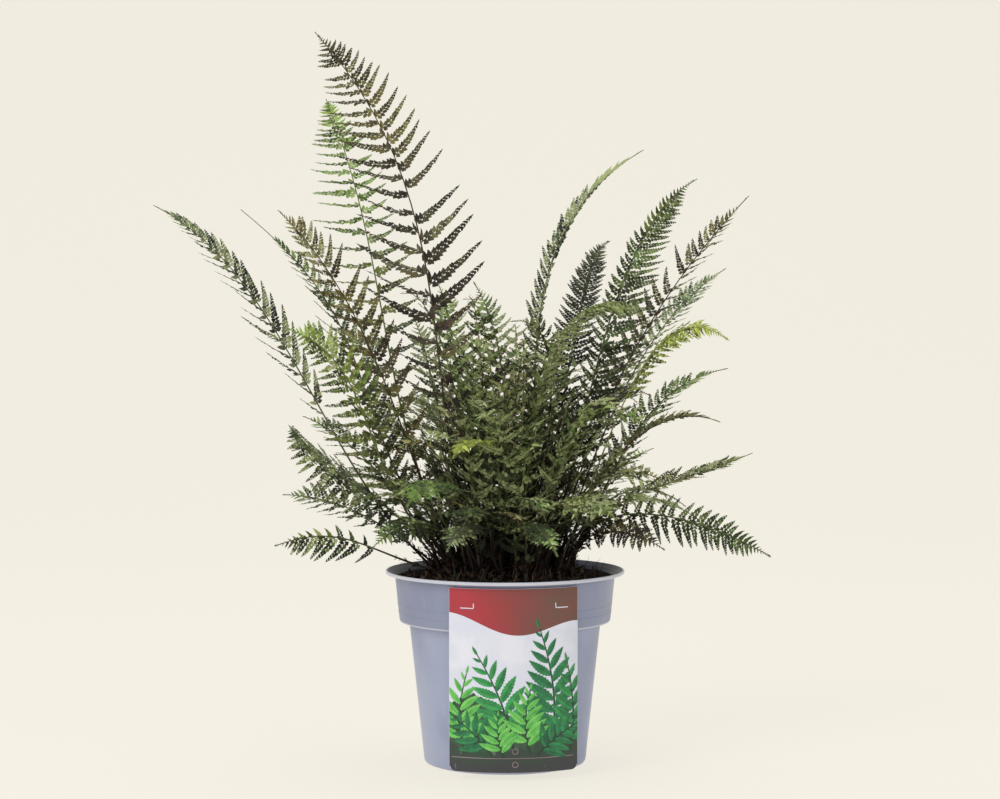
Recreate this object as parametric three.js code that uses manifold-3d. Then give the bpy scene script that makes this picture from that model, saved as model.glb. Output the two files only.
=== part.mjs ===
// A Korean rock fern in a thin-walled plastic grow pot with a picture label.
// Millimetres, +Z up. The origin is the centre of the pot's underside, and the label faces -Y.
// Every frond is one closed body: a four-sided stalk whose side faces run out into tapering leaflets.
import * as THREE from "three";
import { mergeVertices } from "three/addons/utils/BufferGeometryUtils.js";
import Module from "manifold-3d";

const wasm = await Module();
wasm.setup();

// Driving dimensions
const RIM_DIAMETER = 130;
const POT_HEIGHT = 105;
const BASE_DIAMETER = 88;
const WALL = 1;
const FLOOR = 1.6;
const CLEARANCE = 0.35; // between pieces that touch on the real plant
const ROUND_STEPS = 32; // facets round the pot and the soil

// Pot, worked out from the rim, the height and the base
const RIM_RADIUS = RIM_DIAMETER / 2;
const BASE_RADIUS = BASE_DIAMETER / 2;
const COLLAR_TOP_RADIUS = RIM_RADIUS - 5.3;
const COLLAR_FOOT_RADIUS = COLLAR_TOP_RADIUS - 2.4;
const BODY_TOP_RADIUS = COLLAR_FOOT_RADIUS - 5.4;
const COLLAR_TOP_HEIGHT = POT_HEIGHT - 3.4;
const COLLAR_FOOT_HEIGHT = POT_HEIGHT - 27.5;
const BODY_TOP_HEIGHT = COLLAR_FOOT_HEIGHT - 1.6;
const BASE_CHAMFER = 2.4;
const DRAIN_RADIUS = 3.2;
const DRAIN_RING_RADIUS = 31;
const DRAINS = 6;

// Soil and the scaly crown that the fronds grow from
const SOIL_EDGE_HEIGHT = POT_HEIGHT - 4.6;
const SOIL_ROUGHNESS = 1;
const CROWN_RADIUS = 43;
const CROWN_RISE = 8.5; // above the soil, at the middle
const CROWN_SEAT_HEIGHT = SOIL_EDGE_HEIGHT - 10;
const CROWN_STEPS = 22;

// Label
const LABEL_WIDTH = 68;
const LABEL_HEIGHT = 97;
const LABEL_THICKNESS = 0.7;
const LABEL_CORNER = 4;
const LABEL_STEPS = 12;
const LABEL_TURN = 5; // degrees to the right of the front
const LABEL_TOP_HEIGHT = COLLAR_TOP_HEIGHT - 0.25;

// Fronds
const ROOT_DEPTH = 7; // of a stalk inside the crown
const HOLE_MARGIN = 0.45;
const ROOT_STANDS_OUT = 2.6; // of the straight root above the crown
const ROOT_SPACING = 5.2;
const STALK_HALF_WIDTH = [1.15, 0.42]; // at the root and at the tip
const STALK_HALF_DEPTH = [0.95, 0.38];
const STALK_STATIONS = 3; // between the crown and the first leaflet
const CROWDING = 1.3; // how fast the leaflets close up towards the tip
const LEAFLET_ANGLE = [74, 38]; // from the stalk, at the lowest leaflet and at the tip, in degrees
const LEAFLET_WAIST = 0.34; // of its length, where a long leaflet is still nearly at full width
const LEAFLET_SWEEP = 0.1; // of its length, how far the tip leans towards the frond's tip
const LONG_LEAFLET = 22;
const LEAFLET_FULLNESS = 2.3; // how far up the frond the leaflets stay long
const KEEP_APART = 2.4; // between sampled points of two fronds
const SAMPLE_STEP = 1.5;
const RIM_MARGIN = 3.2;
const STALK_SHIFTS = [0, 4, -4, 8, -8, 12, -12, 16, -16, 22, -22, 30, -30];

// Colours of the materials
const COLOURS = {
  pot: 0x8f94a8,
  soil: 0x2a201a,
  crown: 0x33241a,
  label: 0xdfe2e6,
  deep: 0x2f4a2c,
  blue: 0x4c6a5c,
  bronze: 0x4a4029,
  fresh: 0x4d7a36,
  lime: 0x8c9c34,
};

// Fronds measured one by one. x runs to the right, z up and y away from the front.
// via and tip hold [x, z]; via are the points a third and two thirds of the way along.
// root is the distance of the foot from the pot's axis, away the depth (y) of the tip, reach the longest
// leaflet, face 1 where the blade faces the front and 0 where it faces up, fold the leaflets' rise in degrees.
const MEASURED = [
  { root: 14, via: [[-34, 206], [-50, 302]], tip: [-102, 395], away: -25, reach: 35, pairs: 17, bare: 0.3, face: 1, fold: 4, tone: "bronze" },
  { root: 27, via: [[-56, 190], [-73, 274]], tip: [-99, 363], away: 30, reach: 28, pairs: 16, bare: 0.32, face: 0.9, fold: 6, tone: "fresh" },
  { root: 38, via: [[-89, 173], [-133, 249]], tip: [-190, 303], away: -10, reach: 24, pairs: 14, bare: 0.4, face: 0.5, fold: 0, tone: "blue" },
  { root: 33, via: [[-71, 186], [-94, 243]], tip: [-148, 302], away: 45, reach: 29, pairs: 13, bare: 0.3, face: 0.35, fold: 12, tone: "deep" },
  { root: 30, via: [[-54, 179], [-81, 245]], tip: [-120, 300], away: -45, reach: 28, pairs: 14, bare: 0.28, face: 0.6, fold: 14, tone: "bronze" },
  { root: 33, via: [[-64, 160], [-82, 208]], tip: [-114, 238], away: -70, reach: 26, pairs: 12, bare: 0.3, face: 0.7, fold: 8, tone: "fresh" },
  { root: 37, via: [[-59, 136], [-85, 157]], tip: [-114, 187], away: -50, reach: 24, pairs: 11, bare: 0.32, face: 0.4, fold: -14, tone: "blue" },
  { root: 35, via: [[-57, 143], [-84, 172]], tip: [-111, 188], away: 10, reach: 22, pairs: 11, bare: 0.3, face: 0.3, fold: 10, tone: "deep" },
  { root: 39, via: [[-70, 117], [-94, 125]], tip: [-123, 121], away: -35, reach: 15, pairs: 10, bare: 0.36, face: 0.75, fold: 6, tone: "deep" },
  { root: 38, via: [[-65, 127], [-93, 140]], tip: [-123, 144], away: 20, reach: 16, pairs: 10, bare: 0.36, face: 0.5, fold: 8, tone: "blue" },
  { root: 13, via: [[16, 189], [25, 270]], tip: [77, 334], away: 20, reach: 14, pairs: 14, bare: 0.36, face: 0.3, fold: 36, tone: "blue" },
  { root: 22, via: [[41, 181], [65, 265]], tip: [104, 317], away: -15, reach: 22, pairs: 15, bare: 0.3, face: 0.85, fold: 6, tone: "deep" },
  { root: 17, via: [[29, 180], [43, 251]], tip: [60, 284], away: 60, reach: 14, pairs: 12, bare: 0.36, face: 0.8, fold: 6, tone: "blue" },
  { root: 27, via: [[52, 186], [87, 251]], tip: [134, 309], away: 15, reach: 21, pairs: 14, bare: 0.32, face: 0.4, fold: 16, tone: "bronze" },
  { root: 32, via: [[55, 180], [86, 234]], tip: [125, 269], away: 55, reach: 17, pairs: 12, bare: 0.34, face: 0.5, fold: 12, tone: "blue" },
  { root: 30, via: [[52, 167], [80, 225]], tip: [119, 230], away: -40, reach: 16, pairs: 13, bare: 0.36, face: 0.25, fold: -10, tone: "lime" },
  { root: 15, via: [[14, 176], [31, 236]], tip: [76, 246], away: -60, reach: 17, pairs: 12, bare: 0.32, face: 0.1, fold: -12, tone: "fresh" },
  { root: 33, via: [[57, 153], [83, 192]], tip: [125, 213], away: 40, reach: 17, pairs: 12, bare: 0.3, face: 0.4, fold: 12, tone: "deep" },
  { root: 34, via: [[51, 154], [81, 184]], tip: [116, 186], away: -20, reach: 13, pairs: 11, bare: 0.34, face: 0.1, fold: 30, tone: "bronze" },
  { root: 36, via: [[57, 137], [90, 152]], tip: [136, 168], away: 10, reach: 13, pairs: 11, bare: 0.36, face: 0.2, fold: 14, tone: "deep" },
  { root: 32, via: [[44, 143], [64, 159]], tip: [87, 167], away: 60, reach: 15, pairs: 10, bare: 0.3, face: 0.3, fold: 10, tone: "fresh" },
  { root: 38, via: [[57, 134], [99, 133]], tip: [142, 115], away: -35, reach: 16, pairs: 15, bare: 0.26, face: 0.9, fold: 6, tone: "deep" },
  { root: 14, via: [[0, 169], [-3, 221]], tip: [-18, 262], away: 40, reach: 18, pairs: 12, bare: 0.3, face: 0.85, fold: 6, tone: "blue" },
  { root: 12, via: [[22, 176], [23, 225]], tip: [2, 240], away: -20, reach: 18, pairs: 11, bare: 0.3, face: 0.3, fold: 14, tone: "bronze" },
  { root: 21, via: [[-19, 158], [-27, 218]], tip: [-38, 262], away: 50, reach: 21, pairs: 12, bare: 0.3, face: 0.85, fold: 6, tone: "fresh" },
  { root: 20, via: [[-30, 164], [-41, 213]], tip: [-51, 245], away: 15, reach: 18, pairs: 11, bare: 0.3, face: 0.6, fold: 8, tone: "blue" },
  { root: 30, via: [[-19, 142], [-34, 156]], tip: [-51, 146], away: -85, reach: 17, pairs: 10, bare: 0.28, face: 0.2, fold: -8, tone: "fresh" },
  { root: 28, via: [[3, 161], [-13, 178]], tip: [-27, 170], away: -75, reach: 15, pairs: 10, bare: 0.3, face: 0.2, fold: -8, tone: "lime" },
  { root: 36, via: [[-34, 126], [-50, 133]], tip: [-70, 122], away: -62, reach: 15, pairs: 8, bare: 0.2, face: 0.3, fold: -6, tone: "deep" },
  { root: 34, via: [[22, 136], [38, 147]], tip: [58, 138], away: -72, reach: 16, pairs: 8, bare: 0.2, face: 0.3, fold: -6, tone: "fresh" },
  { root: 37, via: [[7, 128], [15, 134]], tip: [27, 121], away: -92, reach: 14, pairs: 8, bare: 0.2, face: 0.2, fold: -8, tone: "deep" },
  { root: 37, via: [[-12, 127], [-20, 134]], tip: [-30, 124], away: -96, reach: 14, pairs: 8, bare: 0.2, face: 0.2, fold: -8, tone: "blue" },
  { root: 38, via: [[42, 122], [60, 129]], tip: [84, 121], away: -56, reach: 14, pairs: 8, bare: 0.22, face: 0.4, fold: -4, tone: "bronze" },
  { root: 38, via: [[-46, 138], [-66, 150]], tip: [-88, 146], away: -44, reach: 16, pairs: 9, bare: 0.22, face: 0.4, fold: -4, tone: "deep" },
];

// The rest of the clump goes round the back and sides of the crown by the golden angle, in three tiers.
const FILL = {
  count: 17,
  candidates: 30,
  seed: 4711,
  startAngle: -30,
  arc: 240,
  goldenAngle: 137.508,
  tiers: [
    { root: 7, out: 34, up: 112, nod: 6, reach: 20, pairs: 10, bare: 0.2, fold: 12 },
    { root: 20, out: 74, up: 96, nod: 16, reach: 22, pairs: 11, bare: 0.2, fold: 8 },
    { root: 33, out: 104, up: 58, nod: 22, reach: 20, pairs: 11, bare: 0.2, fold: 4 },
  ],
  tones: ["deep", "bronze", "fresh", "blue", "deep"],
};

const radians = THREE.MathUtils.degToRad;
const lerp = THREE.MathUtils.lerp;
const vec = (x, y, z) => new THREE.Vector3(x, y, z);

// Solids and booleans
function toSolid(geometry) {
  const bare = geometry.clone();
  bare.deleteAttribute("normal");
  bare.deleteAttribute("uv");
  const merged = mergeVertices(bare, 1e-4);
  return new wasm.Manifold(
    new wasm.Mesh({
      numProp: 3,
      vertProperties: new Float32Array(merged.attributes.position.array),
      triVerts: new Uint32Array(merged.index.array),
    }),
  );
}

function toGeometry(solid) {
  const mesh = solid.getMesh();
  const geometry = new THREE.BufferGeometry();
  geometry.setAttribute("position", new THREE.BufferAttribute(new Float32Array(mesh.vertProperties), 3));
  geometry.setIndex(new THREE.BufferAttribute(new Uint32Array(mesh.triVerts), 1));
  return geometry;
}

// A closed profile of [radius, height] turned round Z
function turned(profile, steps) {
  const points = profile.map(([radius, height]) => new THREE.Vector2(radius, height));
  const geometry = new THREE.LatheGeometry(points, steps);
  geometry.rotateX(Math.PI / 2);
  return geometry;
}

const group = new THREE.Group();

function addPiece(name, geometry, colour, roughness) {
  const shown = geometry.clone();
  shown.computeVertexNormals();
  const material = new THREE.MeshStandardMaterial({ color: colour, roughness, metalness: 0, flatShading: true });
  const mesh = new THREE.Mesh(shown, material);
  mesh.name = name;
  group.add(mesh);
}

// Pot: thin wall, stepped collar, flared rim and drainage holes round the edge of the floor
const potInside = [
  [BASE_RADIUS - WALL - 0.6, FLOOR],
  [BODY_TOP_RADIUS - WALL, BODY_TOP_HEIGHT - 0.5],
  [COLLAR_FOOT_RADIUS - WALL, COLLAR_FOOT_HEIGHT + 1.1],
  [COLLAR_TOP_RADIUS - WALL, COLLAR_TOP_HEIGHT + 0.2],
];
const potOutside = [
  [BASE_RADIUS - BASE_CHAMFER, 0],
  [BASE_RADIUS, BASE_CHAMFER],
  [BODY_TOP_RADIUS, BODY_TOP_HEIGHT],
  [COLLAR_FOOT_RADIUS, COLLAR_FOOT_HEIGHT],
  [COLLAR_TOP_RADIUS, COLLAR_TOP_HEIGHT],
  [RIM_RADIUS - 0.7, POT_HEIGHT - 1.8],
  [RIM_RADIUS, POT_HEIGHT - 1.1],
  [RIM_RADIUS - 0.4, POT_HEIGHT],
  [RIM_RADIUS - 1.2, POT_HEIGHT],
];

function makePot() {
  const profile = [[0, 0], ...potOutside, ...potInside.slice().reverse(), [0, FLOOR]];
  let pot = toSolid(turned(profile, ROUND_STEPS));
  for (let i = 0; i < DRAINS; i++) {
    const angle = ((i + 0.5) / DRAINS) * 2 * Math.PI;
    const drain = new THREE.CylinderGeometry(DRAIN_RADIUS, DRAIN_RADIUS, 3 * FLOOR, 8);
    drain.rotateX(Math.PI / 2);
    drain.translate(DRAIN_RING_RADIUS * Math.cos(angle), DRAIN_RING_RADIUS * Math.sin(angle), FLOOR / 2);
    pot = pot.subtract(toSolid(drain));
  }
  addPiece("pot", toGeometry(pot), COLOURS.pot, 0.45);
}

// Soil: fills the pot up to under the rim, with a recess for the crown and an uneven top
function soilBump(x, y, edgeRadius) {
  const fade = 1 - (Math.hypot(x, y) / edgeRadius) ** 12;
  return fade * SOIL_ROUGHNESS * (Math.sin(0.31 * x + 1) * Math.cos(0.27 * y) + 0.6 * Math.sin(0.53 * y - 0.41 * x));
}

function makeSoil() {
  const skin = potInside.map(([radius, height]) => [radius - CLEARANCE - 0.05, height + CLEARANCE]);
  const [foot, head] = skin.slice(-2);
  const edge = lerp(foot[0], head[0], (SOIL_EDGE_HEIGHT - foot[1]) / (head[1] - foot[1]));
  const profile = [
    [0, FLOOR + CLEARANCE],
    [skin[0][0], FLOOR + CLEARANCE],
    ...skin.slice(1, -1),
    [edge, SOIL_EDGE_HEIGHT],
    [(edge + CROWN_RADIUS) / 2, SOIL_EDGE_HEIGHT + 0.4],
    [CROWN_RADIUS + 1, SOIL_EDGE_HEIGHT],
    [CROWN_RADIUS + 1, CROWN_SEAT_HEIGHT - CLEARANCE],
    [0, CROWN_SEAT_HEIGHT - CLEARANCE],
  ];
  const geometry = turned(profile, ROUND_STEPS);
  const position = geometry.attributes.position;
  for (let i = 0; i < position.count; i++) {
    const [x, y, z] = [position.getX(i), position.getY(i), position.getZ(i)];
    if (z > SOIL_EDGE_HEIGHT - 0.1) position.setZ(i, z + soilBump(x, y, edge));
  }
  addPiece("soil", toGeometry(toSolid(geometry)), COLOURS.soil, 0.95);
}

// Crown: a low lumpy dome seated in the soil
function crownTop(x, y) {
  const share = Math.min(1, Math.hypot(x, y) / CROWN_RADIUS);
  const dome = CROWN_RISE * (1 - share * share);
  const lumps = 1.1 * (1 - share ** 6) * Math.sin(0.33 * x + 0.6) * Math.sin(0.36 * y - 0.8);
  return SOIL_EDGE_HEIGHT + 0.6 + dome + lumps;
}

function makeCrown(stalkHoles) {
  const rings = [0, 0.4, 0.76, 1].map((share) => share * CROWN_RADIUS);
  const top = rings.slice().reverse().map((radius) => [radius, SOIL_EDGE_HEIGHT]);
  const profile = [[0, CROWN_SEAT_HEIGHT], [CROWN_RADIUS, CROWN_SEAT_HEIGHT], ...top];
  const geometry = turned(profile, CROWN_STEPS);
  const position = geometry.attributes.position;
  for (let i = 0; i < position.count; i++) {
    const [x, y, z] = [position.getX(i), position.getY(i), position.getZ(i)];
    if (z > CROWN_SEAT_HEIGHT + 1) position.setZ(i, crownTop(x, y));
  }
  let crown = toSolid(geometry);
  for (const hole of stalkHoles) crown = crown.subtract(hole);
  addPiece("crown", toGeometry(crown), COLOURS.crown, 0.95);
}

// Label: a card bent round the collar, its top edge tucked under the rim
function makeLabel() {
  const inner = COLLAR_TOP_RADIUS + CLEARANCE + 0.15;
  const outer = inner + LABEL_THICKNESS;
  const half = Math.asin(LABEL_WIDTH / 2 / outer);
  const bottom = LABEL_TOP_HEIGHT - LABEL_HEIGHT;
  const band = new THREE.Shape();
  band.absarc(0, 0, outer, -Math.PI / 2 - half, -Math.PI / 2 + half, false);
  band.absarc(0, 0, inner, -Math.PI / 2 + half, -Math.PI / 2 - half, true);
  const card = new THREE.ExtrudeGeometry(band, {
    depth: LABEL_HEIGHT,
    bevelEnabled: false,
    curveSegments: LABEL_STEPS,
  });
  card.translate(0, 0, bottom);

  const outline = new THREE.Shape();
  const side = LABEL_WIDTH / 2 + 1;
  const corner = LABEL_CORNER + 1;
  outline.moveTo(-side, LABEL_HEIGHT + 1);
  outline.lineTo(-side, corner);
  outline.quadraticCurveTo(-side, 0, -side + corner, 0);
  outline.lineTo(side - corner, 0);
  outline.quadraticCurveTo(side, 0, side, corner);
  outline.lineTo(side, LABEL_HEIGHT + 1);
  const cutter = new THREE.ExtrudeGeometry(outline, { depth: 2 * RIM_RADIUS, bevelEnabled: false, curveSegments: 3 });
  cutter.rotateX(Math.PI / 2);
  cutter.translate(0, 0, bottom);
  let label = toSolid(card).intersect(toSolid(cutter));

  for (const x of [-0.38 * LABEL_WIDTH, 0.38 * LABEL_WIDTH]) {
    const slit = new THREE.BoxGeometry(7, RIM_RADIUS, 1);
    slit.translate(x, -0.9 * RIM_RADIUS, LABEL_TOP_HEIGHT - 10.5);
    label = label.subtract(toSolid(slit));
  }
  const geometry = toGeometry(label);
  geometry.rotateZ(radians(LABEL_TURN));
  addPiece("label", geometry, COLOURS.label, 0.35);
}

// Where fronds already are, as points in a grid of cells
class Thicket {
  constructor(cell) {
    this.cell = cell;
    this.cells = new Map();
  }
  key(x, y, z) {
    return `${x},${y},${z}`;
  }
  add(points, owner) {
    for (const point of points) {
      const at = [point.x, point.y, point.z].map((value) => Math.floor(value / this.cell));
      const key = this.key(...at);
      if (!this.cells.has(key)) this.cells.set(key, []);
      this.cells.get(key).push({ point, owner });
    }
  }
  isClear(points, owner, apart) {
    for (const point of points) {
      const [a, b, c] = [point.x, point.y, point.z].map((value) => Math.floor(value / this.cell));
      for (let i = a - 1; i <= a + 1; i++)
        for (let j = b - 1; j <= b + 1; j++)
          for (let k = c - 1; k <= c + 1; k++)
            for (const other of this.cells.get(this.key(i, j, k)) ?? [])
              if (other.owner !== owner && other.point.distanceTo(point) < apart) return false;
    }
    return true;
  }
}

// The cubic from the foot to the tip that passes the two via points
function stalkCurve(foot, first, second, tip) {
  const early = foot.clone().multiplyScalar(-5)
    .addScaledVector(first, 18).addScaledVector(second, -9).addScaledVector(tip, 2).divideScalar(6);
  const late = foot.clone().multiplyScalar(2)
    .addScaledVector(first, -9).addScaledVector(second, 18).addScaledVector(tip, -5).divideScalar(6);
  return new THREE.CubicBezierCurve3(foot, early, late, tip);
}

// A frond of the list as points in space. The depth grows along it as on an arching frond.
function measuredFrond(entry) {
  const [[x1, z1], [x2, z2]] = entry.via;
  const [x3, z3] = entry.tip;
  return {
    ...entry,
    heading: Math.atan2(entry.away, x3),
    first: vec(x1, 0.27 * entry.away, z1),
    second: vec(x2, 0.6 * entry.away, z2),
    end: vec(x3, entry.away, z3),
  };
}

function fillFronds() {
  let state = FILL.seed;
  const draw = () => (state = (state * 16807) % 2147483647) / 2147483647;
  const made = [];
  for (let i = 0; i < FILL.candidates; i++) {
    const tier = FILL.tiers[i % FILL.tiers.length];
    const heading = radians(FILL.startAngle + ((i * FILL.goldenAngle) % FILL.arc));
    const out = tier.out * lerp(0.85, 1.2, draw());
    const up = tier.up * lerp(0.85, 1.12, draw());
    const at = (share) => {
      const far = lerp(tier.root, out, share ** 1.25);
      const high = SOIL_EDGE_HEIGHT + CROWN_RISE + up * (1 - (1 - share) ** 1.8) - tier.nod * share ** 3;
      const swing = 0.16 * Math.sin(5 * i) * share;
      return vec(far * Math.cos(heading + swing), far * Math.sin(heading + swing), high);
    };
    made.push({
      ...tier,
      heading,
      first: at(1 / 3),
      second: at(2 / 3),
      end: at(1),
      face: 0.25 * draw(),
      tone: FILL.tones[i % FILL.tones.length],
    });
  }
  return made;
}

// A foot keeps apart from the others on the crown: it tries its own place and then places near it.
function placeFoot(frond, taken) {
  for (let attempt = 0; attempt < 400; attempt++) {
    const turn = radians(9 * attempt) * (attempt % 2 ? 1 : -1);
    const radius = Math.min(CROWN_RADIUS - 4, Math.max(3, frond.root + 0.09 * attempt * Math.sin(attempt)));
    const angle = frond.heading + 0.25 * turn;
    const [x, y] = [radius * Math.cos(angle), radius * Math.sin(angle)];
    if (taken.some((other) => Math.hypot(other.x - x, other.y - y) < ROOT_SPACING)) continue;
    return vec(x, y, crownTop(x, y) + ROOT_STANDS_OUT);
  }
  return null;
}

// Stations along a frond: place, direction, sideways and upper-side vectors, and half sizes of the stalk
function stations(frond) {
  const curve = stalkCurve(frond.foot, frond.first, frond.second, frond.end);
  curve.arcLengthDivisions = 240;
  const leaflets = 2 * frond.pairs;
  const shares = [];
  for (let i = 0; i < STALK_STATIONS; i++) shares.push((frond.bare * i) / STALK_STATIONS);
  for (let i = 0; i <= leaflets; i++)
    shares.push(frond.bare + (1 - frond.bare) * 0.985 * (1 - (1 - i / (leaflets + 1)) ** CROWDING));
  const inward = vec(-Math.cos(frond.heading), -Math.sin(frond.heading), 0.9).normalize();
  const facing = inward.lerp(vec(0, -1, 0.12), frond.face).normalize();
  const list = shares.map((share) => {
    const along = curve.getTangentAt(share);
    const across = new THREE.Vector3().crossVectors(along, facing).normalize();
    const upper = new THREE.Vector3().crossVectors(across, along).normalize();
    const width = lerp(...STALK_HALF_WIDTH, share ** 0.7);
    const depth = lerp(...STALK_HALF_DEPTH, share ** 0.7);
    return { share, place: curve.getPointAt(share), along, across, upper, width, depth };
  });
  const first = list[0];
  const along = first.along.clone().lerp(vec(0, 0, 1), 0.72).normalize();
  const across = first.across.clone().projectOnPlane(along).normalize();
  const upper = new THREE.Vector3().crossVectors(across, along).normalize();
  const place = first.place.clone().addScaledVector(along, -ROOT_DEPTH - ROOT_STANDS_OUT);
  const root = { ...first, along, across, upper, place };
  return { list: [root, ...list], tip: curve.getPointAt(1), length: curve.getLength() };
}

// Four corners of the stalk at a station, with its section grown by a margin
function section(station, margin = 0) {
  const corner = (side, face) => station.place.clone()
    .addScaledVector(station.across, side * (station.width + margin))
    .addScaledVector(station.upper, face * (station.depth + margin));
  return [corner(1, 1), corner(-1, 1), corner(-1, -1), corner(1, -1)];
}

// One leaflet on the stalk between two stations: its tip for a side, a rise in degrees and a length
function leafletTip(from, to, share, side, rise, length) {
  const angle = radians(lerp(...LEAFLET_ANGLE, share));
  const middle = from.place.clone().lerp(to.place, 0.5);
  const out = from.across.clone().multiplyScalar(side * Math.cos(radians(rise)))
    .addScaledVector(from.upper, Math.sin(radians(rise)));
  return middle.addScaledVector(from.along, length * (Math.cos(angle) + LEAFLET_SWEEP))
    .addScaledVector(out, length * Math.sin(angle));
}

// Points spread over a leaflet, for keeping fronds apart
function leafletSamples(from, to, side, tip, length) {
  const [a, b] = [from, to].map((station) => station.place.clone()
    .addScaledVector(station.across, side * station.width));
  const points = [];
  for (let i = 0; i * SAMPLE_STEP < length + 1; i++) {
    const share = Math.min(1, (i * SAMPLE_STEP) / length);
    for (const across of [0, 0.5, 1]) points.push(a.clone().lerp(b, across).lerp(tip, share));
  }
  return points;
}

function isOverPot(point) {
  const radius = Math.hypot(point.x, point.y);
  if (radius > RIM_RADIUS + RIM_MARGIN) return point.z > POT_HEIGHT - 12;
  const floor = radius < CROWN_RADIUS ? crownTop(point.x, point.y) : POT_HEIGHT;
  return point.z > floor + RIM_MARGIN;
}

function stalkSamples(frond) {
  const points = [];
  frond.line.list.slice(1).forEach((station, i, list) => {
    const next = list[i + 1]?.place ?? frond.line.tip;
    const steps = Math.ceil(station.place.distanceTo(next) / SAMPLE_STEP);
    for (let k = 0; k < steps; k++) points.push(station.place.clone().lerp(next, k / steps));
  });
  return points;
}

// A stalk bends a little sideways until it clears every earlier one. Null if no bend does.
function seatStalk(frond, owner, thicket, taken) {
  const foot = placeFoot(frond, taken);
  const sideways = vec(-Math.sin(frond.heading), Math.cos(frond.heading), 0);
  for (const shift of STALK_SHIFTS) {
    const seated = { ...frond, foot };
    seated.first = frond.first.clone().addScaledVector(sideways, 0.3 * shift);
    seated.second = frond.second.clone().addScaledVector(sideways, 0.7 * shift);
    seated.end = frond.end.clone().addScaledVector(sideways, shift);
    seated.line = stations(seated);
    const points = stalkSamples(seated);
    if (!thicket.isClear(points, owner, KEEP_APART + 0.3)) continue;
    thicket.add(points, owner);
    taken.push(foot);
    return seated;
  }
  return null;
}

// The measured fronds first, then fill fronds in turn until there are enough that stand clear
function seatFronds(thicket) {
  const seated = [];
  const taken = [];
  const candidates = [...MEASURED.map(measuredFrond), ...fillFronds()];
  for (const frond of candidates) {
    if (seated.length === MEASURED.length + FILL.count) break;
    const placed = seatStalk(frond, seated.length, thicket, taken);
    if (placed) seated.push(placed);
  }
  return seated;
}

// The rises and lengths that a leaflet tries until it clears the other fronds
const RISES = [0, 14, -14, 28, -28, 44, -44, 60, -60];
const SHORTENINGS = [1, 0.8, 0.6, 0.42];

function growLeaflets(frond, owner, thicket) {
  const { list } = frond.line;
  const leaflets = new Map();
  for (let i = 0; i < 2 * frond.pairs; i++) {
    const at = 1 + STALK_STATIONS + i;
    const [from, to] = [list[at], list[at + 1]];
    const side = i % 2 ? 1 : -1;
    const share = i / (2 * frond.pairs);
    const profile = (1 - share ** LEAFLET_FULLNESS) * (0.62 + 0.38 * Math.min(1, share / 0.2));
    grow: for (const shortening of SHORTENINGS) {
      const length = frond.reach * profile * shortening;
      for (const rise of RISES) {
        const tip = leafletTip(from, to, share, side, frond.fold + rise, length);
        const points = leafletSamples(from, to, side, tip, length);
        if (!points.every(isOverPot) || !thicket.isClear(points, owner, KEEP_APART)) continue;
        thicket.add(points, owner);
        leaflets.set(at, { side, tip, length });
        break grow;
      }
    }
  }
  return leaflets;
}

// The closed surface of a frond
function frondGeometry(frond, leaflets) {
  const { list, tip } = frond.line;
  const positions = [];
  const index = [];
  const vertex = (point) => positions.push(point.x, point.y, point.z) / 3 - 1;
  const quad = (a, b, c, d) => index.push(a, b, c, a, c, d);
  const rings = list.map((station) => section(station).map(vertex));
  quad(...rings[0]);
  for (let i = 0; i + 1 < rings.length; i++) {
    const [near, far] = [rings[i], rings[i + 1]];
    quad(near[1], near[0], far[0], far[1]);
    quad(near[3], near[2], far[2], far[3]);
    const leaflet = leaflets.get(i);
    for (const side of [1, -1]) {
      // The side face, in order: near top, near bottom, far bottom, far top, seen from inside
      const [top, low] = side > 0 ? [0, 3] : [1, 2];
      let loop = [near[top], near[low], far[low], far[top]];
      if (leaflet?.side !== side) {
        if (side > 0) quad(...loop);
        else quad(...loop.slice().reverse());
        continue;
      }
      if (leaflet.length > LONG_LEAFLET) {
        const corners = loop.map((v) => vec(...positions.slice(3 * v, 3 * v + 3)));
        const middle = corners[0].clone().add(corners[2]).divideScalar(2);
        const grown = corners.map((corner) => {
          const spread = corner.clone().sub(middle);
          const thick = spread.dot(list[i].upper);
          spread.addScaledVector(list[i].upper, -0.3 * thick);
          return middle.clone().lerp(leaflet.tip, LEAFLET_WAIST).add(spread);
        });
        const next = grown.map(vertex);
        for (let k = 0; k < 4; k++) {
          const m = (k + 1) % 4;
          if (side > 0) quad(loop[k], loop[m], next[m], next[k]);
          else quad(loop[m], loop[k], next[k], next[m]);
        }
        loop = next;
      }
      const point = vertex(leaflet.tip);
      for (let k = 0; k < 4; k++) {
        const m = (k + 1) % 4;
        if (side > 0) index.push(loop[k], loop[m], point);
        else index.push(loop[m], loop[k], point);
      }
    }
  }
  const last = rings[rings.length - 1];
  const end = vertex(tip);
  for (let k = 0; k < 4; k++) index.push(last[(k + 1) % 4], last[k], end);
  const geometry = new THREE.BufferGeometry();
  geometry.setAttribute("position", new THREE.Float32BufferAttribute(positions, 3));
  geometry.setIndex(index);
  return geometry;
}

// The hole that a stalk's straight root stands in
function rootHole(frond) {
  const [root, foot] = frond.line.list;
  const bottom = { ...root, place: root.place.clone().addScaledVector(root.along, -CLEARANCE) };
  const top = { ...root, place: foot.place.clone().addScaledVector(root.along, 1) };
  const corners = [...section(bottom, HOLE_MARGIN), ...section(top, HOLE_MARGIN)];
  const geometry = new THREE.BufferGeometry();
  geometry.setAttribute("position", new THREE.Float32BufferAttribute(corners.flatMap((p) => p.toArray()), 3));
  const index = [0, 1, 2, 0, 2, 3, 6, 5, 4, 7, 6, 4];
  for (let k = 0; k < 4; k++) {
    const m = (k + 1) % 4;
    index.push(m, k, k + 4, m, k + 4, m + 4);
  }
  geometry.setIndex(index);
  return toSolid(geometry);
}

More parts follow.
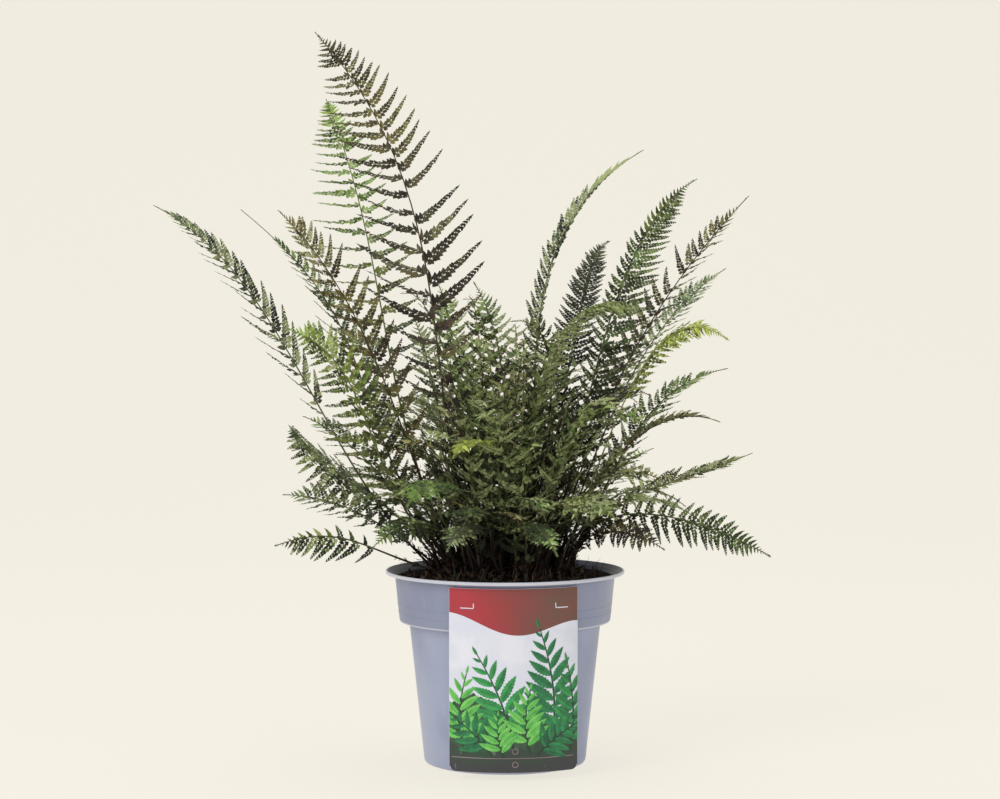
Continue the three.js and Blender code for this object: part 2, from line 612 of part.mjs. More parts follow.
const thicket = new Thicket(KEEP_APART + 0.4);
const fronds = seatFronds(thicket);

makePot();
makeSoil();
makeCrown(fronds.map(rootHole));
makeLabel();
fronds.forEach((frond, i) => {
  const leaflets = growLeaflets(frond, i, thicket);
  addPiece(`frond_${String(i + 1).padStart(2, "0")}`, frondGeometry(frond, leaflets), COLOURS[frond.tone], 0.7);
});

export default group;
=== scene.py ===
"""A Korean rock fern in a grow pot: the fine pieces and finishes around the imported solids.

Lengths are in millimetres up to the moment a mesh is made, and MM turns them into metres. The plan of
the fronds is the same as in the solids: a table of measured fronds and a rule for the rest of the clump.
"""

import math

import bpy
import numpy as np
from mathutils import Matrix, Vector, noise


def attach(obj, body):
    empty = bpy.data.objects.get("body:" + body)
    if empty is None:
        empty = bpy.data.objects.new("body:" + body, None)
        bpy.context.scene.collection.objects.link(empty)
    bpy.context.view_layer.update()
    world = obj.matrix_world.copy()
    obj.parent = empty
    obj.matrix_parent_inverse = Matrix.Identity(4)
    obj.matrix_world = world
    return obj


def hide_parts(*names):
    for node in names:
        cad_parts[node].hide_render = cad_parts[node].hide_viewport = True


MM = 0.001
BODY = "root"

# Pot, soil, crown and label, as in the solids
RIM_RADIUS = 65.0
POT_HEIGHT = 105.0
BASE_RADIUS = 44.0
WALL = 1.0
FLOOR = 1.6
COLLAR_TOP_RADIUS = RIM_RADIUS - 5.3
COLLAR_FOOT_RADIUS = COLLAR_TOP_RADIUS - 2.4
BODY_TOP_RADIUS = COLLAR_FOOT_RADIUS - 5.4
COLLAR_TOP_HEIGHT = POT_HEIGHT - 3.4
COLLAR_FOOT_HEIGHT = POT_HEIGHT - 27.5
BODY_TOP_HEIGHT = COLLAR_FOOT_HEIGHT - 1.6
BASE_CHAMFER = 2.4
DRAIN_RADIUS = 3.2
DRAIN_RING_RADIUS = 31.0
DRAINS = 6
SOIL_EDGE_HEIGHT = POT_HEIGHT - 4.6
CROWN_RADIUS = 43.0
CROWN_RISE = 8.5
CROWN_SEAT_HEIGHT = SOIL_EDGE_HEIGHT - 10
LABEL_WIDTH = 68.0
LABEL_HEIGHT = 97.0
LABEL_THICKNESS = 0.7
LABEL_CORNER = 4.0
LABEL_TURN = 5.0
LABEL_TOP_HEIGHT = COLLAR_TOP_HEIGHT - 0.25
LABEL_INNER_RADIUS = COLLAR_TOP_RADIUS + 0.5

# Stalks
ROOT_DEPTH = 7.0
ROOT_STANDS_OUT = 2.6
ROOT_SPACING = 5.2
STALK_STATIONS = 3
CROWDING = 1.3
STALK_APART = 2.7
SAMPLE_STEP = 1.5
STALK_SHIFTS = (0, 4, -4, 8, -8, 12, -12, 16, -16, 22, -22, 30, -30)
LENGTH_TABLE_STEPS = 240

# Leaflets on the stalk
LEAFLET_SWEEP = 0.1
LEAFLET_FULLNESS = 2.3

# Fronds measured one by one: foot radius, two points along and the tip in x and z, depth of the tip,
# longest leaflet, leaflet pairs, bare share, how far the blade faces the front, rise of the leaflets, tone
MEASURED = (
    (14, (-34, 206), (-50, 302), (-102, 395), -25, 35, 17, 0.30, 1.00, 4, "bronze"),
    (27, (-56, 190), (-73, 274), (-99, 363), 30, 28, 16, 0.32, 0.90, 6, "fresh"),
    (38, (-89, 173), (-133, 249), (-190, 303), -10, 24, 14, 0.40, 0.50, 0, "blue"),
    (33, (-71, 186), (-94, 243), (-148, 302), 45, 29, 13, 0.30, 0.35, 12, "deep"),
    (30, (-54, 179), (-81, 245), (-120, 300), -45, 28, 14, 0.28, 0.60, 14, "bronze"),
    (33, (-64, 160), (-82, 208), (-114, 238), -70, 26, 12, 0.30, 0.70, 8, "fresh"),
    (37, (-59, 136), (-85, 157), (-114, 187), -50, 24, 11, 0.32, 0.40, -14, "blue"),
    (35, (-57, 143), (-84, 172), (-111, 188), 10, 22, 11, 0.30, 0.30, 10, "deep"),
    (39, (-70, 117), (-94, 125), (-123, 121), -35, 15, 10, 0.36, 0.75, 6, "deep"),
    (38, (-65, 127), (-93, 140), (-123, 144), 20, 16, 10, 0.36, 0.50, 8, "blue"),
    (13, (16, 189), (25, 270), (77, 334), 20, 14, 14, 0.36, 0.30, 36, "blue"),
    (22, (41, 181), (65, 265), (104, 317), -15, 22, 15, 0.30, 0.85, 6, "deep"),
    (17, (29, 180), (43, 251), (60, 284), 60, 14, 12, 0.36, 0.80, 6, "blue"),
    (27, (52, 186), (87, 251), (134, 309), 15, 21, 14, 0.32, 0.40, 16, "bronze"),
    (32, (55, 180), (86, 234), (125, 269), 55, 17, 12, 0.34, 0.50, 12, "blue"),
    (30, (52, 167), (80, 225), (119, 230), -40, 16, 13, 0.36, 0.25, -10, "lime"),
    (15, (14, 176), (31, 236), (76, 246), -60, 17, 12, 0.32, 0.10, -12, "fresh"),
    (33, (57, 153), (83, 192), (125, 213), 40, 17, 12, 0.30, 0.40, 12, "deep"),
    (34, (51, 154), (81, 184), (116, 186), -20, 13, 11, 0.34, 0.10, 30, "bronze"),
    (36, (57, 137), (90, 152), (136, 168), 10, 13, 11, 0.36, 0.20, 14, "deep"),
    (32, (44, 143), (64, 159), (87, 167), 60, 15, 10, 0.30, 0.30, 10, "fresh"),
    (38, (57, 134), (99, 133), (142, 115), -35, 16, 15, 0.26, 0.90, 6, "deep"),
    (14, (0, 169), (-3, 221), (-18, 262), 40, 18, 12, 0.30, 0.85, 6, "blue"),
    (12, (22, 176), (23, 225), (2, 240), -20, 18, 11, 0.30, 0.30, 14, "bronze"),
    (21, (-19, 158), (-27, 218), (-38, 262), 50, 21, 12, 0.30, 0.85, 6, "fresh"),
    (20, (-30, 164), (-41, 213), (-51, 245), 15, 18, 11, 0.30, 0.60, 8, "blue"),
    (30, (-19, 142), (-34, 156), (-51, 146), -85, 17, 10, 0.28, 0.20, -8, "fresh"),
    (28, (3, 161), (-13, 178), (-27, 170), -75, 15, 10, 0.30, 0.20, -8, "lime"),
    (36, (-34, 126), (-50, 133), (-70, 122), -62, 15, 8, 0.20, 0.30, -6, "deep"),
    (34, (22, 136), (38, 147), (58, 138), -72, 16, 8, 0.20, 0.30, -6, "fresh"),
    (37, (7, 128), (15, 134), (27, 121), -92, 14, 8, 0.20, 0.20, -8, "deep"),
    (37, (-12, 127), (-20, 134), (-30, 124), -96, 14, 8, 0.20, 0.20, -8, "blue"),
    (38, (42, 122), (60, 129), (84, 121), -56, 14, 8, 0.22, 0.40, -4, "bronze"),
    (38, (-46, 138), (-66, 150), (-88, 146), -44, 16, 9, 0.22, 0.40, -4, "deep"),
)

# The rest of the clump, round the back and sides by the golden angle, in three tiers:
# foot radius, reach outwards, rise, nod, longest leaflet, pairs, bare share, rise of the leaflets
FILL_COUNT = 17
FILL_CANDIDATES = 30
FILL_SEED = 4711
FILL_START = -30.0
FILL_ARC = 240.0
GOLDEN_ANGLE = 137.508
FILL_TIERS = (
    (7, 34, 112, 6, 20, 10, 0.20, 12),
    (20, 74, 96, 16, 22, 11, 0.20, 8),
    (33, 104, 58, 22, 20, 11, 0.20, 4),
)
FILL_TONES = ("deep", "bronze", "fresh", "blue", "deep")


def lerp(a, b, share):
    return a + (b - a) * share


def unit(v):
    return v / np.linalg.norm(v)


def vec(*xyz):
    return np.array(xyz, float)


class Draw:
    """Evenly spread numbers from a seed, the same on every run."""

    def __init__(self, seed):
        self.state = seed

    def __call__(self, low=0.0, high=1.0):
        self.state = self.state * 16807 % 2147483647
        return low + (high - low) * self.state / 2147483647


# The plan of the fronds


def crown_top(x, y):
    share = min(1, math.hypot(x, y) / CROWN_RADIUS)
    dome = CROWN_RISE * (1 - share * share)
    lumps = 1.1 * (1 - share**6) * math.sin(0.33 * x + 0.6) * math.sin(0.36 * y - 0.8)
    return SOIL_EDGE_HEIGHT + 0.6 + dome + lumps


class Frond:
    """Where a frond grows: its cubic from the foot to the tip, and how its leaflets sit."""

    def __init__(self, root, points, reach, pairs, bare, face, fold, tone, heading):
        self.root, self.points, self.heading = root, points, heading
        self.reach, self.pairs, self.bare = reach, pairs, bare
        self.face, self.fold, self.tone = face, fold, tone

    def set_curve(self, foot, shift):
        sideways = vec(-math.sin(self.heading), math.cos(self.heading), 0)
        first, second, tip = (
            point + share * shift * sideways
            for point, share in zip(self.points, (0.3, 0.7, 1))
        )
        early = (-5 * foot + 18 * first - 9 * second + 2 * tip) / 6
        late = (2 * foot - 9 * first + 18 * second - 5 * tip) / 6
        self.knots = (foot, early, late, tip)
        self.steps = np.linspace(0, 1, LENGTH_TABLE_STEPS + 1)
        line = self.cubic(self.steps)
        pieces = np.linalg.norm(np.diff(line, axis=0), axis=1)
        self.lengths = np.concatenate(([0], np.cumsum(pieces)))
        self.length = self.lengths[-1]

    def cubic(self, t):
        t = np.asarray(t, float)[..., None]
        a, b, c, d = self.knots
        return (
            (1 - t) ** 3 * a + 3 * (1 - t) ** 2 * t * b + 3 * (1 - t) * t**2 * c + t**3 * d
        )

    def at(self, share):
        return self.cubic(np.interp(np.asarray(share) * self.length, self.lengths, self.steps))

    def along(self, share):
        t = np.interp(share * self.length, self.lengths, self.steps)
        ahead, behind = self.cubic(min(1, t + 1e-4)), self.cubic(max(0, t - 1e-4))
        return unit(ahead - behind)

    def frame(self, share):
        """Place, direction, sideways and upper-side vectors at a share of the length."""
        h = self.heading
        inward = unit(vec(-math.cos(h), -math.sin(h), 0.9))
        facing = unit(lerp(inward, vec(0, -1, 0.12), self.face))
        along = self.along(share)
        across = unit(np.cross(along, facing))
        return self.at(share), along, across, unit(np.cross(across, along))

    def leaf_share(self, index, count):
        return self.bare + (1 - self.bare) * 0.985 * (1 - (1 - index / (count + 1)) ** CROWDING)

    def stalk_samples(self):
        count = 2 * self.pairs
        shares = [self.bare * i / STALK_STATIONS for i in range(STALK_STATIONS)]
        shares += [self.leaf_share(i, count) for i in range(count + 1)] + [1]
        places = self.at(np.array(shares))
        samples = []
        for here, there in zip(places[:-1], places[1:]):
            steps = math.ceil(np.linalg.norm(there - here) / SAMPLE_STEP)
            samples += [lerp(here, there, k / steps) for k in range(steps)]
        return np.array(samples)


def measured_fronds():
    for root, first, second, tip, away, reach, pairs, bare, face, fold, tone in MEASURED:
        points = (
            vec(first[0], 0.27 * away, first[1]),
            vec(second[0], 0.6 * away, second[1]),
            vec(tip[0], away, tip[1]),
        )
        heading = math.atan2(away, tip[0])
        yield Frond(root, points, reach, pairs, bare, face, fold, tone, heading)


def fill_fronds():
    draw = Draw(FILL_SEED)
    for i in range(FILL_CANDIDATES):
        root, out, up, nod, reach, pairs, bare, fold = FILL_TIERS[i % len(FILL_TIERS)]
        heading = math.radians(FILL_START + i * GOLDEN_ANGLE % FILL_ARC)
        out *= lerp(0.85, 1.2, draw())
        up *= lerp(0.85, 1.12, draw())
        points = []
        for share in (1 / 3, 2 / 3, 1):
            far = lerp(root, out, share**1.25)
            rise = up * (1 - (1 - share) ** 1.8) - nod * share**3
            turn = heading + 0.16 * math.sin(5 * i) * share
            height = SOIL_EDGE_HEIGHT + CROWN_RISE + rise
            points.append(vec(far * math.cos(turn), far * math.sin(turn), height))
        face = 0.25 * draw()
        tone = FILL_TONES[i % len(FILL_TONES)]
        yield Frond(root, points, reach, pairs, bare, face, fold, tone, heading)


def place_foot(frond, taken):
    """A foot keeps apart from the others on the crown: its own place first, then places near it."""
    for attempt in range(400):
        turn = math.radians(9 * attempt) * (1 if attempt % 2 else -1)
        wide = frond.root + 0.09 * attempt * math.sin(attempt)
        radius = min(CROWN_RADIUS - 4, max(3, wide))
        angle = frond.heading + 0.25 * turn
        x, y = radius * math.cos(angle), radius * math.sin(angle)
        if all(math.hypot(foot[0] - x, foot[1] - y) >= ROOT_SPACING for foot in taken):
            return vec(x, y, crown_top(x, y) + ROOT_STANDS_OUT)
    return None


def seat_fronds():
    """The measured fronds first, then fill fronds in turn, each bent sideways until it stands clear."""
    seated, taken = [], []
    others = np.empty((0, 3))
    for frond in [*measured_fronds(), *fill_fronds()]:
        if len(seated) == len(MEASURED) + FILL_COUNT:
            break
        foot = place_foot(frond, taken)
        for shift in STALK_SHIFTS:
            frond.set_curve(foot, shift)
            samples = frond.stalk_samples()
            gaps = np.linalg.norm(samples[:, None] - others[None], axis=2)
            if gaps.size and gaps.min() < STALK_APART:
                continue
            others = np.concatenate((others, samples))
            taken.append(foot)
            seated.append(frond)
            break
    return seated


# Shared modelling helpers


def deselect():
    if bpy.context.object and bpy.context.object.mode != "OBJECT":
        bpy.ops.object.mode_set(mode="OBJECT")
    bpy.ops.object.select_all(action="DESELECT")


def select_only(piece):
    deselect()
    piece.select_set(True)
    bpy.context.view_layer.objects.active = piece


def apply_modifier(piece, kind, **settings):
    modifier = piece.modifiers.new(kind.lower(), kind)
    for name, value in settings.items():
        setattr(modifier, name, value)
    select_only(piece)
    bpy.ops.object.modifier_apply(modifier=modifier.name)


def face_outwards(piece, merge=1e-6):
    select_only(piece)
    bpy.ops.object.mode_set(mode="EDIT")
    bpy.ops.mesh.select_all(action="SELECT")
    bpy.ops.mesh.remove_doubles(threshold=merge)
    bpy.ops.mesh.normals_make_consistent(inside=False)
    bpy.ops.object.mode_set(mode="OBJECT")


def shade_smooth(piece, degrees=35):
    select_only(piece)
    bpy.ops.object.shade_smooth_by_angle(angle=math.radians(degrees))


def points_of(piece):
    flat = np.empty(len(piece.data.vertices) * 3)
    piece.data.vertices.foreach_get("co", flat)
    return flat.reshape(-1, 3)


def set_points(piece, points):
    piece.data.vertices.foreach_set("co", np.asarray(points, float).ravel())
    piece.data.update()


class Form:
    """Triangles gathered as arrays: points, corners, a UV for each corner, two values for each point
    and a finish number for each triangle."""

    def __init__(self, points, corners, uv=None, along=0.0, shade=0.5, finish=0):
        self.points = np.asarray(points, float)
        self.corners = np.asarray(corners, int)
        self.uv = np.zeros((len(self.corners), 3, 2)) if uv is None else uv
        self.along = np.broadcast_to(np.asarray(along, float), len(self.points))
        self.shade = np.broadcast_to(np.asarray(shade, float), len(self.points))
        self.finish = np.broadcast_to(np.asarray(finish, int), len(self.corners))

    def placed(self, points, along=None, shade=None):
        along = self.along if along is None else along
        shade = self.shade if shade is None else shade
        return Form(points, self.corners, self.uv, along, shade, self.finish)


def form_of(piece):
    """The triangles of a modelled piece, which is then removed."""
    piece.data.calc_loop_triangles()
    triangles = piece.data.loop_triangles
    corners = np.array([triangle.vertices[:] for triangle in triangles])
    layer = piece.data.uv_layers.active
    uv = np.array([[layer.uv[i].vector[:] for i in triangle.loops] for triangle in triangles])
    form = Form(points_of(piece), corners, uv)
    bpy.data.objects.remove(piece)
    return form


def gather(forms):
    sizes = np.cumsum([0] + [len(form.points) for form in forms[:-1]])
    corners = [form.corners + start for form, start in zip(forms, sizes)]
    return Form(
        np.concatenate([form.points for form in forms]),
        np.concatenate(corners),
        np.concatenate([form.uv for form in forms]),
        np.concatenate([form.along for form in forms]),
        np.concatenate([form.shade for form in forms]),
        np.concatenate([form.finish for form in forms]),
    )


def make_piece(name, form, finishes):
    mesh = bpy.data.meshes.new(name)
    count = len(form.corners)
    mesh.vertices.add(len(form.points))
    mesh.vertices.foreach_set("co", (form.points * MM).ravel())
    mesh.loops.add(3 * count)
    mesh.loops.foreach_set("vertex_index", form.corners.ravel())
    mesh.polygons.add(count)
    mesh.polygons.foreach_set("loop_start", np.arange(0, 3 * count, 3))
    mesh.polygons.foreach_set("material_index", form.finish)
    mesh.uv_layers.new(name="UVMap").uv.foreach_set("vector", form.uv.ravel())
    for label, values in (("along", form.along), ("shade", form.shade)):
        mesh.attributes.new(label, "FLOAT", "POINT").data.foreach_set("value", values)
    mesh.update(calc_edges=True)
    mesh.validate()
    for finish in finishes:
        mesh.materials.append(finish)
    piece = bpy.data.objects.new(name, mesh)
    bpy.context.scene.collection.objects.link(piece)
    shade_smooth(piece, 40)
    return piece


def tube(places, frames, widths, depths, sides=6, along=None, finish=0):
    """A closed tapering tube through places, with (sideways, upper) vectors at each."""
    ring = 2 * math.pi * np.arange(sides) / sides
    rows = []
    for place, (across, upper), width, depth in zip(places, frames, widths, depths):
        rows.append(
            place + np.outer(width * np.cos(ring), across) + np.outer(depth * np.sin(ring), upper)
        )
    count = len(rows)
    points = np.concatenate(rows + [[places[0]], [places[-1]]])
    corners = []
    for i in range(count - 1):
        for k in range(sides):
            m = (k + 1) % sides
            a, b, c, d = i * sides + k, i * sides + m, (i + 1) * sides + m, (i + 1) * sides + k
            corners += [(a, b, c), (a, c, d)]
    start, end = count * sides, count * sides + 1
    for k in range(sides):
        m = (k + 1) % sides
        corners += [(start, m, k), (end, (count - 1) * sides + k, (count - 1) * sides + m)]
    values = np.zeros(count) if along is None else np.asarray(along)
    spread = np.concatenate((np.repeat(values, sides), values[:1], values[-1:]))
    return Form(points, corners, along=spread, finish=finish)


# Leaf lobes and leaflets

# A lobe one long, its outline from the side towards the leaflet's foot, round the tip, and back
PLAIN_LOBE = ((0, -0.09), (0.26, -0.38), (0.68, -0.3), (1, 0.04), (0.62, 0.38), (0.2, 0.5), (0, 0.12))
SMALL_LOBE = ((0, -0.1), (0.5, -0.4), (1, 0.04), (0.3, 0.52), (0, 0.12))
TOOTHED_LOBE = (
    (0, -0.09),
    (0.26, -0.38),
    (0.52, -0.3),
    (0.8, -0.2),
    (1.05, 0.05),
    (0.7, 0.26),
    (0.58, 0.42),
    (0.22, 0.56),
    (0, 0.12),
)
LONE_LOBE = (
    (0, -0.05),
    (0.12, -0.15),
    (0.36, -0.14),
    (0.4, -0.1),
    (0.68, -0.07),
    (1, 0.06),
    (0.72, 0.1),
    (0.66, 0.14),
    (0.4, 0.15),
    (0.34, 0.2),
    (0.1, 0.2),
    (0, 0.06),
)
LOBE_MIDDLE = (0.4, 0.02)
LOBE_RISE = 0.1  # how high its middle stands, and how far its underside's hangs, as shares of its length
LOBE_BELLY = 0.03


def model_lobe(name, outline):
    """One lobe of a leaflet: a fan raised at its middle and closed by its own underside."""
    deselect()
    bpy.ops.mesh.primitive_circle_add(vertices=len(outline), radius=0.5, fill_type="TRIFAN")
    lobe = bpy.context.object
    lobe.name = name
    points = points_of(lobe)
    middle = int(np.argmin(np.linalg.norm(points, axis=1)))
    turn = np.arctan2(points[:, 1], points[:, 0]) % (2 * math.pi)
    rim = [i for i in np.argsort(turn) if i != middle]
    points[rim] = [(x, y, 0) for x, y in outline]
    points[middle] = (*LOBE_MIDDLE, LOBE_RISE)
    set_points(lobe, points)
    bpy.ops.object.mode_set(mode="EDIT")
    bpy.ops.mesh.select_all(action="SELECT")
    bpy.ops.mesh.duplicate()
    bpy.ops.mesh.flip_normals()
    bpy.ops.object.mode_set(mode="OBJECT")
    points = points_of(lobe)
    points[len(points) // 2 + middle, 2] = -LOBE_BELLY
    set_points(lobe, points)
    uv = lobe.data.uv_layers.active.uv
    for polygon in lobe.data.polygons:
        for corner in polygon.loop_indices:
            x, y, _ = lobe.data.vertices[lobe.data.loops[corner].vertex_index].co
            uv[corner].vector = (x + (polygon.normal.z < 0), 0.5 + y)
    face_outwards(lobe, merge=1e-4)
    return form_of(lobe)


# Shortest length in mm that takes it, lobe pairs, length of a lobe, its width as a share of its spacing,
# fullness towards the tip, and kind of lobe
LEAFLET_SIZES = (
    (25, 14, 0.124, 1.32, 1.12, "toothed"),
    (17, 12, 0.152, 1.36, 1.15, "plain"),
    (11.5, 9, 0.19, 1.46, 1.4, "small"),
    (7.5, 6, 0.24, 1.55, 1.7, "small"),
)
LEAFLET_VARIANTS = 4
LEAFLET_SEED = 2203
FIRST_LOBE = 1.5  # how much longer the lobe next to the stalk is, on the side of the frond's tip
LOBE_ANGLE = (68.0, 36.0)
MIDRIB_RADIUS = 0.009


def turn_about(points, axis, degrees):
    angle = math.radians(degrees)
    axis = unit(np.asarray(axis, float))
    cross = np.cross(axis, points)
    dot = points @ axis
    return points * math.cos(angle) + cross * math.sin(angle) + np.outer(dot, axis) * (1 - math.cos(angle))


def leaflet_form(lobe, pairs, lobe_length, fill, fullness, draw):
    """A leaflet of unit length along X, cut into pairs of lobes, its upper face towards +Z.
    +Y is the side towards the frond's tip."""
    forms = []
    for side in (1, -1):
        for k in range(pairs):
            share = (k + (0.3 if side > 0 else 0.6)) / pairs
            place = 0.015 + 0.93 * (1 - (1 - share) ** 1.25)
            spacing = 0.93 * 1.25 * (1 - share) ** 0.25 / pairs
            length = lobe_length * (1 - place**fullness) + 0.012
            if k == 0:
                length *= FIRST_LOBE if side > 0 else 0.8
            length *= draw(0.9, 1.1)
            width = fill * spacing * draw(0.9, 1.08)
            points = lobe.points * (length, width, length)
            points = turn_about(points, (1, 0, 0), draw(-22, 22))
            points = turn_about(points, (0, 1, 0), draw(-10, 16))
            angle = lerp(LOBE_ANGLE[0], LOBE_ANGLE[1], place) + draw(-6, 6)
            points = turn_about(points, (0, 0, 1), angle)
            points += (place, 0.002, 0.003)
            corners, uv = lobe.corners, lobe.uv
            if side < 0:
                points = points * (1, -1, 1)
                corners, uv = corners[:, ::-1], uv[:, ::-1]
            forms.append(Form(points, corners, uv, shade=draw()))
    tip = lobe.points * (0.1, 0.035, 0.05) + (0.9, 0, 0)
    forms.append(Form(tip, lobe.corners, lobe.uv, shade=draw()))
    line = np.linspace(0, 0.96, 3)
    places = np.stack([line, 0 * line, 0 * line + 0.002], axis=1)
    sides = [(vec(0, 1, 0), vec(0, 0, 1))] * len(line)
    widths = MIDRIB_RADIUS * (1.1 - line)
    forms.append(tube(places, sides, widths, widths, sides=3, finish=1))
    return gather(forms)


def mirrored(form):
    points = form.points * (1, -1, 1)
    return Form(points, form.corners[:, ::-1], form.uv[:, ::-1], 0, form.shade, form.finish)


def model_leaflets():
    """For each size, a few variants, each with its mirror image for the other side of the stalk."""
    draw = Draw(LEAFLET_SEED)
    lobes = {
        "toothed": model_lobe("toothed_lobe", TOOTHED_LOBE),
        "plain": model_lobe("plain_lobe", PLAIN_LOBE),
        "small": model_lobe("small_lobe", SMALL_LOBE),
    }
    lone = model_lobe("lone_lobe", LONE_LOBE)
    sizes = []
    for shortest, *measures, kind in LEAFLET_SIZES:
        forms = [leaflet_form(lobes[kind], *measures, draw) for _ in range(LEAFLET_VARIANTS)]
        sizes.append((shortest, forms))
    sizes.append((0, [Form(lone.points * (1, 1, 0.4), lone.corners, lone.uv)]))
    return [(shortest, forms, [mirrored(form) for form in forms]) for shortest, forms in sizes]


# Fronds

LEAFLET_PAIRS = (10, 0.105)  # a fixed number, and more for each mm of the leafy part of the stalk
LOW_LEAFLET_PAIRS = (4, 0.075)
LEAFLET_CROWDING = 2.1
LEAFLET_BOW = (0.0, 0.15)
MISSING_LEAFLETS = 0.01
FIRST_LEAFLET = 0.62  # where the lowest leaflet sits, as a share of the bare part in the solids
LAST_LEAFLET = 0.985  # and the last one, as a share of the whole stalk
TAIL_LENGTH = 17  # mm of the frond's tip over which the leaflets shrink to points
FROND_SEED = 5150
STALK_RINGS = 24
STALK_RADII = (0.74, 0.2)
SCALES_TO = 0.24  # of the frond's length
SCALE_COUNT = 34
DIM_HEIGHTS = (123, 149)  # painted shade: leaflets are painted darker from the upper height down to the lower one
DIM_RADII = (16, 50)  # and inwards, below the heights that follow
INNER_HEIGHTS = (185, 235)
OPEN_RADII = (60, 105)  # low leaflets are out of the painted shade again that far out
DIMMEST = 3.4


class Look:
    """How a frond's leaflets sit. Pairs of values are for its left and right: cants turn their faces to
    its tip and rises lift them above where the solids have them, in degrees, and sides changes their
    length. Others are for its foot and tip: angles to the stalk, growth, another change of length, and
    light, a change of shade. first, last and tail: as FIRST_LEAFLET, LAST_LEAFLET and TAIL_LENGTH.
    youth: how much further down the tip's colour comes. levels: between which its own shade is drawn."""

    def __init__(self, cants=(30, 30), angles=(70, 52), rises=(0, 0), closeness=1.0, **others):
        self.cants, self.angles, self.rises, self.closeness = cants, angles, rises, closeness
        self.sides = others.get("sides", (1, 1))
        self.growth = others.get("growth", (1.1, 0.9))
        self.crowding = others.get("crowding", LEAFLET_CROWDING)
        self.first = others.get("first", FIRST_LEAFLET)
        self.last = others.get("last", LAST_LEAFLET)
        self.tail = others.get("tail", TAIL_LENGTH)
        self.light = others.get("light", (1, 1))
        self.levels = others.get("levels", (0.35, 0.65))
        self.youth = others.get("youth", 0.0)


USUAL_LOOK = Look(light=(1.45, 1.7), levels=(0, 1))
LOW_LOOK = Look((26, 26), (66, 48), closeness=0.88, youth=-0.1, light=(1.55, 2.0), levels=(0, 1))
LOOKS = {
    0: Look((62, 30), (62, 70), closeness=0.95, sides=(1.05, 0.92), growth=(1.22, 0.88), crowding=2.3,
            light=(0.75, 0.65)),
    1: Look((56, 26), (84, 76), (0, 0), 1.08, sides=(1.1, 0.8), growth=(0.95, 1.4), crowding=2.7, youth=-0.06,
            tail=6, light=(0.85, 1.2)),
    2: Look((64, 60), (38, 22), (0, 0), 0.95, first=1.0, growth=(1.15, 0.6), youth=-0.45, light=(1.1, 1.8)),
    3: Look((40, 50), (52, 36), closeness=0.85, growth=(1.2, 0.25), crowding=1.5, last=0.88),
    4: Look((36, 40), (64, 46), closeness=0.9, light=(0.8, 1.15)),
    5: Look((56, 30), (70, 52), closeness=1.0, youth=0.02, light=(0.8, 1.2)),
    6: Look((30, 20), (76, 60), (-10, 0), 1.15, growth=(1.1, 1.2), tail=7, light=(0.9, 1)),
    8: Look((30, 30), (62, 40), (-20, 10), 0.85, first=1.0, sides=(1.15, 0.5), light=(1.9, 2.1)),
    9: Look((30, 30), (60, 36), closeness=0.9),
    10: Look((40, 10), (44, 22), closeness=1.5, growth=(1.1, 0.9), youth=-0.35, light=(0.6, 3.6)),
    11: Look((25, 25), (62, 64), (40, 0), 1.5, sides=(0.55, 1.05), growth=(1.25, 0.85), crowding=1.7,
             youth=-0.08, light=(0.8, 0.9)),
    12: Look((0, 15), (64, 56), closeness=1.7, growth=(1.2, 1.1), youth=-0.45, light=(0.6, 0.42)),
    13: Look((20, 50), (66, 46), closeness=1.1, growth=(1.3, 0.8), youth=-0.1, tail=26),
    14: Look((30, 30), (54, 34), closeness=1.2, light=(1.1, 1.6)),
    15: Look((10, 10), (60, 60), (10, -40), 1.7, growth=(0.6, 1.6), first=1.5, tail=26, light=(0.95, 0.95)),
    16: Look((0, 0), (58, 40), (-50, -50), 1.9, growth=(0.8, 1.35), youth=-0.3, light=(2.4, 3.4)),
    17: Look((30, 20), (56, 30), closeness=1.3, growth=(1.35, 0.3), light=(1.2, 1.6)),
    18: Look((30, 30), (50, 26), closeness=1.3),
    19: Look((30, 30), (48, 22), closeness=1.5, growth=(1.3, 1), youth=-0.3, light=(1.3, 1.9)),
    21: Look((30, 30), (72, 60), closeness=1.3, sides=(0.85, 1.05), light=(0.75, 0.75)),
    22: Look(closeness=1.1, light=(1.6, 2.0)),
    23: Look(closeness=1.1, light=(1.4, 1.7)),
    24: Look(closeness=1.1, light=(1.4, 1.7)),
    25: Look(closeness=1.1, light=(1.6, 2.0)),
    26: Look(closeness=1.1, youth=-0.1, light=(0.8, 0.85)),
    27: Look(closeness=1.1, light=(0.95, 0.85)),
    29: Look((20, 20), closeness=1.4, growth=(1.3, 1.1), youth=-0.35, light=(2.2, 2.2)),
    30: Look(closeness=1.1, light=(2.8, 2.8)),
    31: Look(closeness=1.1, light=(2.8, 2.8)),
}


def bent_leaflet(form, start, tip, along, upper, cant, bow, sag):
    """A leaflet laid on its own bowed midrib. sag hangs its tip away from its upper face."""
    tip = tip - sag * upper
    chord = tip - start
    length = np.linalg.norm(chord)
    middle = start + 0.5 * chord - bow * length * along + 0.3 * sag * upper
    u, v, w = form.points.T
    u = np.clip(u, -0.1, 1.05)[:, None]
    curve = (1 - u) ** 2 * start + 2 * u * (1 - u) * middle + u**2 * tip
    tangent = 2 * (1 - u) * (middle - start) + 2 * u * (tip - middle)
    tangent /= np.linalg.norm(tangent, axis=1, keepdims=True)
    normal = turn_about(upper[None], chord, cant)[0]
    lateral = np.cross(normal, tangent)
    lateral /= np.linalg.norm(lateral, axis=1, keepdims=True)
    normals = np.cross(tangent, lateral)
    return curve + length * (v[:, None] * lateral + w[:, None] * normals)


